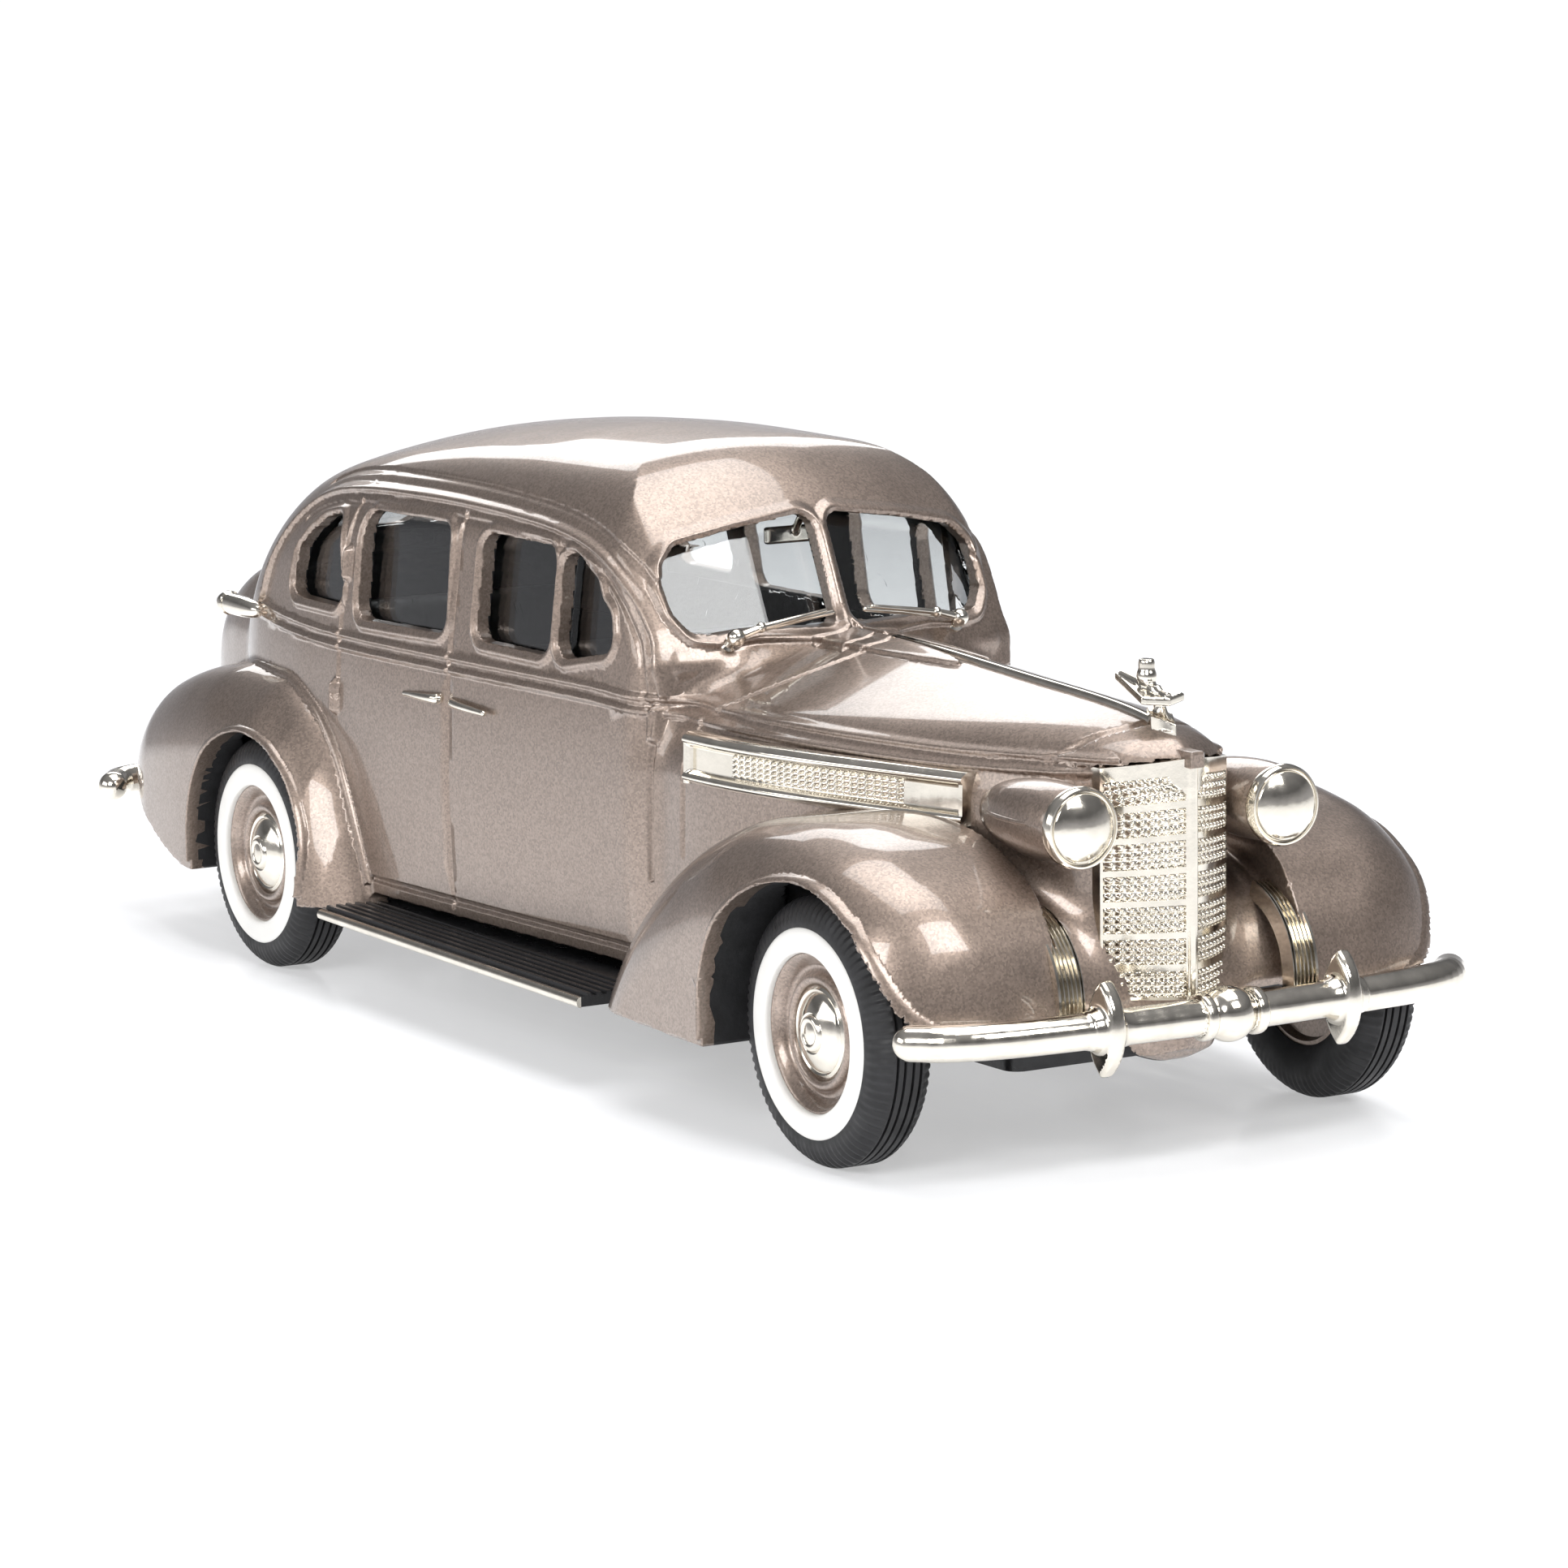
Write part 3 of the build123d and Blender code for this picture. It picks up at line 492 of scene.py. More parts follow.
def mouldings(x, y, z, lights):
    """Height of the window frames, drip rail, belt lines and hinge lugs."""
    side_light, screen, back_light, drip = lights
    behind_screen = x < 16.5
    belt = z - belt_line(x)
    along_side = (x > -36) & (x < 53) & (y > 3.5)
    ridges = [raised_by((y > 8.5) & (x > -40) & behind_screen, side_light - 0.42, 0.26, 0.42),
              raised_by((y > 8) & behind_screen, drip, 0.42, 0.42),
              raised_by((x > 9) & (z > 25.5), screen - 0.45, 0.3, 0.45),
              raised_by((x < -36) & (z > 26.5), back_light - 0.4, 0.22, 0.4),
              raised_by(along_side, belt - 0.42, 0.26, 0.32),
              raised_by(along_side, belt + 0.42, 0.26, 0.32)]
    for lug_x, lug_z in HINGE_LUGS:
        up = z - lug_z
        ridges.append(raised_by(y > 9, np.hypot(x - lug_x, up - np.clip(up, -0.8, 0.8)), 0.55, 0.55))
    return common(*ridges)


def wheel_opening(end, x, z, radius):
    """The cut in a fender's side: round over the wheel, and ramped ahead of a front one."""
    axle_x, _, axle_z = AXLES[end]
    below = common(np.abs(x - axle_x) - ARCH_R[end], z - axle_z)
    opening = np.minimum(radius - ARCH_R[end], below)
    if end == "rear":
        return opening
    ramp = ((x - 49.0) * 5.6 + (z - 14.4) * 4.4) / math.hypot(5.6, 4.4)
    return blended(opening, common(ramp, axle_x - x, z - 14.6, x - 53.4), 0.8)


def body_field(x, y, z):
    """Signed field of the painted casting for y >= 0, with its mouldings and shut lines."""
    side_light, screen, back_light = window_outlines(x, y, z)
    drip = line_distance(x, z, DRIP_RAIL)
    main = main_body(x, y, z)
    door_edge = raised_by((y > 8) & (x > -30) & (x < 15), drip - 1.05, 0.14, 0.28)
    detailed = main - mouldings(x, y, z, (side_light, screen, back_light, drip)) + door_edge
    detailed = common(detailed + shut_lines(x, y, z), SILL_Z - z)

    nose_rise = FOOT_RISE * smooth_step(x, 45, 51)
    inner_rise = FOOT_RISE * smooth_step(x, 33, 38)
    chin = FENDER_FOOT + inner_rise * smooth_step(y, 0.5, 6.5)
    walks = common(rounded([catwalk(x, y, z), chin - z], 1.6), 38 - x)
    tab = common(y - 0.5, 23.0 - z, z - 24, np.abs(x - 54) - 0.95)
    fenders = {"front": front_fender(x, y, z), "rear": rear_fender(x, y, z)}
    front_foot = FENDER_FOOT + np.where(y < WELL_IN, inner_rise, nose_rise)
    front_body = common(fenders["front"], front_foot - z, 17.3 - x)
    tail_rise = 0.1 * np.maximum(-39 - x, 0) ** 1.5
    rear_body = common(fenders["rear"], 5.6 + tail_rise - z, x + 17.8)
    bead = 0.36 * smooth_step(x, -44, -30)
    welt = np.hypot(np.maximum(fenders["rear"], -9), main - 0.05) - bead
    welt = common(welt, 7.2 - z, x + 19.0 + (22 - z) * -0.35)

    field = blended(blended(detailed, walks, 1.6), rear_body, 0.5)
    field = np.minimum(blended(field, front_body, 0.5), tab)
    field = np.minimum(field, welt)

    for end, (axle_x, _, axle_z) in AXLES.items():
        radius = np.hypot(x - axle_x, z - axle_z)
        opening = wheel_opening(end, x, z, radius)
        lip = np.hypot(fenders[end], opening - 0.15) - 0.3
        foot = 6.2 + (nose_rise if end == "front" else 0)
        field = np.minimum(field, common(lip, 14.3 - y, foot - z))
        from_axle = np.abs(x - axle_x)
        well_out = WELL_OUT - 0.6 * np.maximum(from_axle - 4, 0)
        well = common(radius - WELL_R[end], WELL_IN - y, y - well_out)
        axle_slot = common(from_axle - 1.6, z - axle_z - 1.6, y - WELL_IN - 0.1)
        for cut in (common(opening, WELL_IN - y), well, axle_slot):
            field = common(field, -cut)

    hollow = common(main + WALL, x - 52.0)
    side_cut = common(side_light, 8 - y, -40 - x)
    front_cut = common(screen, 5 - x, 25.8 - z)
    return common(field, -hollow, -side_cut, -front_cut, -common(back_light, x + 34))


def both_sides(x, y, z):
    return body_field(x, np.abs(y), z)


def make_body():
    """The casting: one mesh from the sampled field, with near-black painted shade inside and in its wheel
    wells.
    """
    rear, front, half_width, low, high = -58.2, 55.6, 22.2, 5.0, 39.2
    slab_count = 24
    x = np.arange(rear, front, VOXEL, dtype=np.float32)[:, None, None]
    y = (np.arange(0, half_width, VOXEL, dtype=np.float32) + VOXEL / 2)[None, :, None]
    z = np.arange(low, high, VOXEL, dtype=np.float32)[None, None, :]
    slabs = [body_field(part, y, z) for part in np.array_split(x, slab_count)]
    half = np.concatenate(slabs).astype(np.float32)
    whole = np.concatenate([half[:, ::-1], half], axis=1)
    origin = (rear, -float(y.max()), low)
    points, faces = polygonise(whole, origin, VOXEL)
    points, normals = settled(both_sides, points, VOXEL)
    # The second material is the near-black painted shade for the inner faces.
    obj = finished("body_shell", [(points, faces, normals)], PAINT, [PAINTED_SHADE])

    middles = np.array([points[list(face)].mean(axis=0) for face in faces])
    x, y, z = middles[:, 0], np.abs(middles[:, 1]), middles[:, 2]
    skins = [main_body(x, y, z), np.maximum(catwalk(x, y, z), 38 - x),
             np.maximum(front_fender(x, y, z), 17.3 - x), np.maximum(rear_fender(x, y, z), x + 17.8)]
    # Faces deep under the skin take the near-black painted shade.
    inner = np.min(skins, axis=0) < -SHADE_PAINT_DEPTH
    obj.data.polygons.foreach_set("material_index", inner.astype(np.int32))


# ---- materials
class Finish:
    """A Principled material with the few node set-ups that the finishes below share."""

    def __init__(self, name, colour, roughness, metallic=0.0, **sockets):
        self.material = bpy.data.materials.new(name)
        self.material.use_nodes = True
        self.nodes = self.material.node_tree.nodes
        self.links = self.material.node_tree.links
        self.shader = self.nodes["Principled BSDF"]
        self.set(self.shader, Base_Color=(*colour, 1), Roughness=roughness, Metallic=metallic, **sockets)
        self.colour = colour
        self.place = self.nodes.new("ShaderNodeTexCoord").outputs["Object"]
        self.last_bump = None

    def set(self, node, **sockets):
        for socket, value in sockets.items():
            node.inputs[socket.replace("_", " ")].default_value = value

    def node(self, kind, feed, socket, **sockets):
        """A new node fed through one socket, with constants on others."""
        node = self.nodes.new("ShaderNode" + kind)
        self.set(node, **sockets)
        self.links.new(feed, node.inputs[socket])
        return node

    def noise(self, size_mm, detail=4.0, stretch=None):
        """Noise whose blobs are about size_mm across."""
        place = self.place
        if stretch:
            place = self.node("Mapping", place, "Vector", Scale=stretch).outputs["Vector"]
        return self.node("TexNoise", place, "Vector", Scale=1 / (size_mm * MM), Detail=detail).outputs["Fac"]

    def cells(self, size_mm):
        """A random value for each small grain."""
        grains = self.node("TexVoronoi", self.place, "Vector", Scale=1 / (size_mm * MM))
        return self.node("SeparateColor", grains.outputs["Color"], "Color").outputs["Red"]

    def ranged(self, value, low, high, from_low=0.3, from_high=0.7):
        limits = {"From_Min": from_low, "From_Max": from_high, "To_Min": low, "To_Max": high}
        return self.node("MapRange", value, "Value", **limits).outputs["Result"]

    def tint(self, value, dark, light, from_low=0.3, from_high=0.7):
        """Base colour running from dark to light times the finish's own colour."""
        ramp = self.node("ValToRGB", value, "Fac")
        ends = ramp.color_ramp.elements
        ends[0].position, ends[1].position = from_low, from_high
        for end, scale in zip(ends, (dark, light)):
            end.color = (*(min(c * scale, 1) for c in self.colour), 1)
        self.links.new(ramp.outputs["Color"], self.shader.inputs["Base Color"])

    def rough(self, value, low, high):
        self.links.new(self.ranged(value, low, high), self.shader.inputs["Roughness"])

    def bump(self, value, height_mm, strength=1.0):
        node = self.node("Bump", value, "Height", Distance=height_mm * MM, Strength=strength)
        if self.last_bump:
            self.links.new(self.last_bump, node.inputs["Normal"])
        self.last_bump = node.outputs["Normal"]
        self.links.new(self.last_bump, self.shader.inputs["Normal"])

    def mottled(self, tint, gloss, grain_mm, height_mm, detail=4.0, strength=1.0):
        """Uneven colour and gloss, each as (blob size in mm, low, high), over a raised grain."""
        self.tint(self.noise(tint[0]), *tint[1:])
        self.rough(self.noise(gloss[0]), *gloss[1:])
        self.bump(self.noise(grain_mm, detail), height_mm, strength)
        return self.material


def metallic_paint():
    """Taupe metallic lacquer: aluminium flakes under a glossy clear coat."""
    finish = Finish("taupe_metallic_paint", (0.30, 0.235, 0.195), 0.36, 0.82, Coat_Weight=0.9,
                    Coat_Roughness=0.05, Coat_IOR=1.5)
    flakes = finish.cells(0.13)
    finish.tint(flakes, 0.8, 1.22, 0.0, 1.0)
    finish.rough(finish.noise(2.5), 0.33, 0.41)
    finish.bump(flakes, 0.008, 0.5)
    finish.bump(finish.noise(0.7, 2.0), 0.008, 0.3)
    return finish.material


def nickel_plating(name="nickel_plating", grain=0.008):
    """Warm nickel over a cast surface that isn't quite smooth."""
    finish = Finish(name, (0.80, 0.755, 0.67), 0.12, 1.0)
    return finish.mottled((1.6, 0.86, 1.06), (0.8, 0.07, 0.2), 0.8, grain, 3.0, 0.6)


def tyre_rubber():
    finish = Finish("black_tyre_rubber", (0.012, 0.012, 0.013), 0.5, Specular_IOR_Level=0.4)
    return finish.mottled((2.0, 0.7, 1.8), (1.2, 0.42, 0.62), 0.25, 0.012, 5.0)


def white_rubber():
    finish = Finish("white_wall_rubber", (0.84, 0.83, 0.80), 0.42)
    return finish.mottled((3.0, 0.95, 1.02), (1.5, 0.36, 0.5), 0.4, 0.006)


def painted_shade_finish():
    """Painted shade: the casting's unlit inner faces coloured matt near black, as if in shadow."""
    finish = Finish("painted_shade_inside", (0.010, 0.010, 0.011), 0.62)
    return finish.mottled((1.5, 0.7, 1.6), (1.0, 0.55, 0.75), 0.3, 0.02)


def black_plastic():
    finish = Finish("black_moulded_plastic", (0.009, 0.009, 0.010), 0.3)
    return finish.mottled((2.5, 0.8, 1.5), (1.0, 0.24, 0.42), 0.35, 0.008, 5.0)


def seat_vinyl():
    finish = Finish("dark_seat_plastic", (0.020, 0.018, 0.017), 0.5)
    return finish.mottled((2.0, 0.75, 1.3), (1.0, 0.42, 0.62), 0.5, 0.01, strength=0.5)


def brown_plastic():
    finish = Finish("brown_moulded_plastic", (0.075, 0.032, 0.016), 0.32)
    return finish.mottled((1.5, 0.75, 1.25), (0.8, 0.26, 0.4), 0.4, 0.008)


def steel():
    """Turned steel with faint lines round its length."""
    finish = Finish("turned_steel", (0.52, 0.52, 0.53), 0.28, 1.0)
    lines = finish.noise(0.6, 3.0, (1, 8, 1))
    finish.tint(lines, 0.8, 1.1)
    finish.rough(lines, 0.2, 0.4)
    finish.bump(lines, 0.01)
    return finish.material


def clear_glazing():
    """Clear moulded plastic windows with a faint waviness."""
    finish = Finish("clear_window_plastic", (0.93, 0.95, 0.95), 0.015, IOR=1.49, Transmission_Weight=1.0)
    finish.tint(finish.noise(6.0), 0.97, 1.0)
    finish.bump(finish.noise(9.0, 1.0), 0.02, 0.4)
    return finish.material


def floor_finish():
    """Pale glossy tabletop that fades out towards the horizon."""
    finish = Finish("pale_floor", (0.86, 0.87, 0.89), 0.12, Specular_IOR_Level=0.8,
                    Emission_Color=(1, 1, 1, 1), Emission_Strength=0.42)
    finish.tint(finish.noise(90.0, 2.0), 0.985, 1.0)
    finish.rough(finish.noise(8.0, 6.0, (1, 5, 1)), 0.1, 0.18)
    length = finish.node("VectorMath", finish.place, 0)
    length.operation = "LENGTH"
    fade = finish.ranged(length.outputs["Value"], 0.0, 1.0, 0.16, 0.42)
    clear = finish.nodes.new("ShaderNodeBsdfTransparent")
    mix = finish.node("MixShader", fade, "Fac")
    finish.links.new(finish.shader.outputs["BSDF"], mix.inputs[1])
    finish.links.new(clear.outputs["BSDF"], mix.inputs[2])
    finish.links.new(mix.outputs["Shader"], finish.nodes["Material Output"].inputs["Surface"])
    return finish.material


PAINT = metallic_paint()
NICKEL = nickel_plating()
CAST_NICKEL = nickel_plating("cast_nickel_plating", 0.016)
TYRE = tyre_rubber()
WHITE = white_rubber()
# Near-black painted shade for the casting's inside and wheel wells.
PAINTED_SHADE = painted_shade_finish()
PLASTIC = black_plastic()
VINYL = seat_vinyl()
BROWN = brown_plastic()
STEEL = steel()
GLAZING = clear_glazing()


# ---- wheels
TYRE_R = AXLES["front"][2]
RIBS = 84
RIB_STEPS = 4


def tyre_parts(centre, side):
    """Rubber tyre with grooves round its tread and fine ribs across its shoulders."""
    half = [(4.66, 1.5), (5.0, 1.72), (5.8, 1.95), (6.35, 2.02), (6.9, 1.93), (7.3, 1.74), (7.58, 1.48),
            (7.78, 1.2)]
    groove_r = TYRE_R - 0.26
    for groove in (0.78, 0.28):
        half += [(TYRE_R, groove + 0.2), (TYRE_R, groove + 0.09), (groove_r, groove + 0.06),
                 (groove_r, groove - 0.06), (TYRE_R, groove - 0.09)]
    profile = half + [(r, -w) for r, w in reversed(half)]

    def ripple(radius, along, k):
        on_shoulder = 6.7 < radius < 7.8 and abs(along) > 1.1
        return -0.16 if on_shoulder and k % RIB_STEPS < RIB_STEPS / 2 else 0

    return [lathe(profile, centre, (0, side, 0), RIBS * RIB_STEPS, True, ripple)]


def whitewall_parts(centre, side):
    """Raised ring with softened edges, let into the outer sidewall."""
    profile = softened([(4.66, 1.6), (4.66, 2.0), (4.85, 2.15), (5.4, 2.15), (5.95, 2.13), (6.18, 1.98),
                        (6.18, 1.6)])
    return [lathe(profile, centre, (0, side, 0), 160, True)]


def disc_parts(centre, side):
    """Pressed disc: rolled rim, sunken channel and two stepped rings round the cap."""
    front = softened([(2.55, 0.98), (2.78, 1.0), (2.86, 1.32), (3.2, 1.42), (3.4, 1.2), (3.5, 0.98),
                      (3.75, 0.9), (3.95, 0.98), (4.1, 1.3), (4.35, 1.62), (4.62, 1.78), (4.7, 1.55)])
    rear = [(4.7, -1.4), (4.4, -1.45), (4.2, -0.9), (1.6, -0.7), (1.4, -1.3), (0.85, -1.3), (0.85, -0.5),
            (0.0, -0.5)]
    profile = [(0.0, 0.98)] + [tuple(p) for p in front] + rear
    return [lathe(profile, centre, (0, side, 0), 120)]


def hubcap_parts(centre, side):
    """Domed cap with a rolled edge, a shallow ring and a plain round boss."""
    dome = [(2.67, 0.95), (2.67, 1.16), (2.5, 1.28), (2.36, 1.22), (2.28, 1.3)]
    dome += [(r, 1.98 - 0.13 * r * r) for r in (2.1, 1.8, 1.5, 1.22)]
    boss = [(1.1, 1.74), (1.02, 1.9), (0.9, 1.98), (0.72, 1.97), (0.64, 1.9), (0.5, 1.94), (0.25, 2.0),
            (0.0, 2.02)]
    profile = [(0.0, 0.95)] + dome + boss
    return [lathe(profile, centre, (0, side, 0), 120)]


def make_wheels():
    for end, (axle_x, _, axle_z) in AXLES.items():
        for word, side in SIDES.items():
            centre = (axle_x, centre_mm(f"{end}_tyre_{word}")[1], axle_z)
            finished(f"{end}_tyre_{word}", tyre_parts(centre, side), TYRE)
            finished(f"{end}_whitewall_{word}", whitewall_parts(centre, side), WHITE)
            finished(f"{end}_wheel_disc_{word}", disc_parts(centre, side), PAINT)
            finished(f"{end}_hubcap_{word}", hubcap_parts(centre, side), NICKEL)


# ---- nose brightwork
BANDS = 7
BAND_STRIP = 0.42
BEAD_COLUMNS = 8


def beads(across, along, columns, rows):
    """Small raised square beads in a unit cell grid: 1 on a bead's crown, 0 in the grooves."""
    u = np.abs((across * columns) % 1 - 0.5) * 2
    v = np.abs((along * rows) % 1 - 0.5) * 2
    return (1 - smooth_step(u, 0.2, 0.95)) * (1 - smooth_step(v, 0.2, 0.95))


def grille_front(y):
    return 54.55 - 0.45 * np.abs(y) - 0.055 * y * y


def make_grille():
    """V-plan casting: bands of small beads between plain strips, with a flat bar on the ridge."""
    bands_top = GRILLE_TOP - 0.7
    pitch = (bands_top - GRILLE_FOOT) / BANDS

    def place(y, z):
        reach = np.abs(y)
        down = np.clip((bands_top - z) / pitch, 0, BANDS - 1e-3)
        in_band = (down % 1) * pitch
        bar_half = 0.42 + 0.9 * smooth_step(z, 21.4, 22.6)
        across = (reach - bar_half) / (GRILLE_HALF - 0.15 - bar_half)
        along = (in_band - BAND_STRIP / 2) / (pitch - BAND_STRIP)
        inside = (across > 0) & (across < 1) & (along > 0) & (along < 1) & (z < bands_top)
        height = np.where(inside, 0.24 * beads(across, along, BEAD_COLUMNS, 3) - 0.13, 0)
        bar = 0.16 * (1 - smooth_step(reach, 0.24, 0.34))
        return grille_front(y) + height + bar, y, squeezed(y, z)

    def squeezed(y, z):
        share = (z - GRILLE_FOOT) / (GRILLE_TOP - GRILLE_FOOT)
        return GRILLE_FOOT + share * (grille_top(y) - GRILLE_FOOT)

    def back(y, z):
        return 51.9 - 0.3 * np.abs(y), y, squeezed(y, z)

    u = np.linspace(-GRILLE_HALF, GRILLE_HALF, 151)
    v = np.linspace(GRILLE_FOOT, GRILLE_TOP, 241)
    finished("grille", [sheet(u, v, place, back)], CAST_NICKEL)


LOUVRE_FRONT = 43.2
LOUVRE_REAR = 19.9
LOUVRE_LOW = 18.85
LOUVRE_HIGH = 22.0
BEADS_REAR = 24.6
BEADS_FRONT = 38.6


def louvre_part():
    """Ventilator: rounded rails top and bottom, plain ends and a beaded centre."""

    def place(x, z):
        on_hood = hood_width(x) + 0.02 * (BELT_Z - z) + 0.12
        up = (z - LOUVRE_LOW) / (LOUVRE_HIGH - LOUVRE_LOW)
        rail = np.maximum(hump(up - 0.13, 0.15), hump(up - 0.86, 0.16)) ** 0.5
        edge = 1 - smooth_step(np.minimum(x - LOUVRE_REAR, LOUVRE_FRONT - x), 0.25, 0.6)
        across = (x - BEADS_REAR) / (BEADS_FRONT - BEADS_REAR)
        along = (up - 0.3) / 0.4
        inside = (across > 0) & (across < 1) & (along > 0) & (along < 1)
        bead = np.where(inside, 0.22 * beads(across, along, 24, 4) - 0.04, 0)
        return x, on_hood + common(0.62 * rail, 0.5 * edge * (up < 0.95), bead + 0.1), z

    def back(x, z):
        return x, hood_width(x) - 0.5, z

    u = np.linspace(LOUVRE_REAR, LOUVRE_FRONT, 331)
    v = np.linspace(LOUVRE_LOW, LOUVRE_HIGH, 61)
    return sheet(u, v, place, back)


def vent_part():
    """Upright strip curving over the catwalk: fine ribs along it, a plain lip and a foot."""
    spine = [(54.1, 9.0), (54.05, 10.6), (53.6, 12.2), (52.6, 13.6), (51.2, 14.6), (50.0, 15.0)]
    path = [(x, 8.15, z) for x, z in softened(spine, 3)]
    ribs = 6
    pitch = 1.7 / ribs
    section = [(-0.9, -1.0), (-0.9, 0.16), (-0.84, 0.16)]
    for k in range(ribs):
        left = -0.85 + pitch * k
        section += [(left + 0.02, -0.08), (left + 0.08, -0.08), (left + 0.12, 0.16), (left + 0.2, 0.16)]
    section += [(0.86, 0.16), (0.9, -1.0)]
    foot = [(-0.9, -0.9), (-0.9, 0.3), (0.9, 0.3), (0.9, -0.9)]
    foot_run = [(53.9, 8.15, 8.9), (53.9, 8.15, 9.35)]
    return [swept(path, section, (1, 0, 0)), swept(foot_run, foot, (1, 0, 0))]


HEADLIGHT = (7.0, 20.06)


def pod_parts():
    """Teardrop shell with a faint moulding line along its flank, open for the bright insert."""
    y, z = HEADLIGHT
    outline = softened([(0.0, 43.9), (1.05, 44.3), (1.85, 46.0), (2.25, 48.4), (2.38, 50.6), (2.3, 52.4),
                        (2.2, 53.0)], 3)
    profile = [tuple(p) for p in outline] + [(1.9, 53.05), (1.85, 52.5), (0.0, 52.4)]
    flank = [(x, y + 2.28 - 0.04 * (x - 50.0) ** 2, z + 0.15) for x in np.linspace(46.4, 52.6, 14)]
    return [lathe(profile, (0, y, z), (1, 0, 0), 96), tube(flank, [0.16] * len(flank), 10)]


def lens_parts():
    """Plated insert: stepped rim round a low dome."""
    y, z = HEADLIGHT
    rim = [(1.8, 52.6), (2.2, 52.95), (2.36, 53.05), (2.42, 53.3), (2.38, 53.6), (2.28, 53.78),
           (2.18, 53.8), (2.12, 53.68), (2.06, 53.66), (2.02, 53.78)]
    dome = [(r, 54.42 - 0.15 * r * r) for r in (1.95, 1.7, 1.4, 1.1, 0.8, 0.5, 0.25, 0.0)]
    return [lathe(rim + dome, (0, y, z), (1, 0, 0), 96)]


def make_hood_strip():
    """Thin moulding down the hood's ridge with a fine groove along its middle."""
    right_half = [(0.05, 0.2), (0.1, 0.3), (0.22, 0.28), (0.3, 0.18), (0.3, -0.35)]
    section = [(-a, b) for a, b in reversed(right_half)] + right_half
    path = [(x, 0, float(hood_height(x)) - 0.02) for x in np.linspace(22.5, 50.4, 40)]
    finished("hood_strip", [swept(path, section)], NICKEL)


def make_ornament():
    """Plain swept wing on a lozenge foot, with a small upright finial."""

    def field(x, y, z):
        y = np.abs(y)
        foot_z = hood_height(x) + 0.25
        foot = np.maximum(np.abs(x - 51.3) / 1.5 + y / 0.75 - 1, np.abs(z - foot_z) - 0.4) * 0.7
        stem = np.hypot((x - 51.2 + 0.5 * (z - 26)) / 1.6, y) - 0.3
        stem = common(stem, np.abs(z - 26.2) - 1.1)
        wing_z = 26.55 + 0.16 * (51.8 - x)
        wing = np.maximum(y - 0.16 - 0.3 * (x - 47.0), x - 52.2 + 0.5 * y) * 0.9
        wing = rounded([wing, np.abs(z - wing_z) - 0.24], 0.12)
        rib = np.maximum(np.hypot(y, z - wing_z - 0.25) - 0.26, np.abs(x - 49.6) - 2.4)
        waist = 0.34 + 0.2 * hump(z - 27.75, 0.75) + 0.1 * hump(z - 28.5, 0.4)
        finial = np.maximum(np.hypot((x - 49.8) * 0.8, y) - waist, np.abs(z - 27.75) - 1.0)
        whole = blended(blended(foot, stem, 0.3), np.minimum(wing, rib), 0.25)
        return blended(whole, finial, 0.25)

    finished("hood_ornament", [field_part(field, (46.2, -2.2, 24.2), (53.4, 2.2, 29.0), 0.09)], NICKEL)


def run_distance(x, y, z, points):
    """Distance in space to an open run of points."""
    best = np.full(np.broadcast(x, y, z).shape, 1e9)
    for a, b in zip(points, points[1:]):
        d = [q - p for p, q in zip(a, b)]
        along = (x - a[0]) * d[0] + (y - a[1]) * d[1] + (z - a[2]) * d[2]
        t = np.clip(along / sum(k * k for k in d), 0, 1)
        gap = (x - a[0] - t * d[0]) ** 2 + (y - a[1] - t * d[1]) ** 2 + (z - a[2] - t * d[2]) ** 2
        best = np.minimum(best, np.sqrt(gap))
    return best


BAR_R = 1.05
GUARD_Y = 8.16


def bumper_field(run, reach, ball_r):
    """A round bar with two pointed guards on flared collars; reach is where its front lies."""
    points = [tuple(p) for p in softened(run, 2)]
    forward = 1 if reach > 0 else -1

    def field(x, y, z):
        y = np.abs(y)
        bar = run_distance(x, y, z, points) - BAR_R
        centre_x, centre_z = points[-1][0], points[-1][2]
        from_guard = y - GUARD_Y
        at_guard = float(np.interp(GUARD_Y, *([p[k] for p in points[::-1]] for k in (1, 0))))
        round_bar = np.hypot(x - at_guard, z - centre_z)
        collar = np.maximum(round_bar - 1.52 + 0.42 * np.abs(from_guard), np.abs(from_guard) - 1.15)
        ahead = np.abs(x - at_guard - forward * 0.12)
        blade = np.hypot(ahead + 2.0, z - centre_z) - 3.42
        blade = rounded([blade, np.abs(from_guard) - 0.5], 0.3)
        whole = blended(blended(bar, collar, 0.3), blade, 0.25)
        if ball_r:
            from_line = np.hypot(x - centre_x, z - centre_z)
            knob = np.sqrt((x - centre_x) ** 2 + y * y + (z - centre_z) ** 2) - ball_r
            ring = np.hypot(from_line - 1.12, np.maximum(np.abs(y - 1.75) - 0.12, 0)) - 0.26
            whole = np.minimum(blended(whole, knob, 0.2), ring)
        return whole

    return field


def make_bumpers():
    front = [(53.9, 18.7, 9.1), (55.6, 17.3, 9.2), (56.8, 14.4, 9.27), (57.4, 10.5, 9.32),
             (57.75, 6.0, 9.35), (57.9, 2.0, 9.35), (57.9, 0, 9.35)]
    rear = [(-54.6, 18.6, 9.2), (-56.7, 17.2, 9.2), (-57.7, 13.0, 9.2), (-58.1, 8.0, 9.2),
            (-58.25, 3, 9.2), (-58.25, 0, 9.2)]
    for node, run, ball_r in (("front_bumper", front, 1.62), ("rear_bumper", rear, 0)):
        field = bumper_field(run, run[-1][0], ball_r)
        low, high = box_mm(node)
        finished(node, [field_part(field, low, high, 0.16, 0.3)], NICKEL)


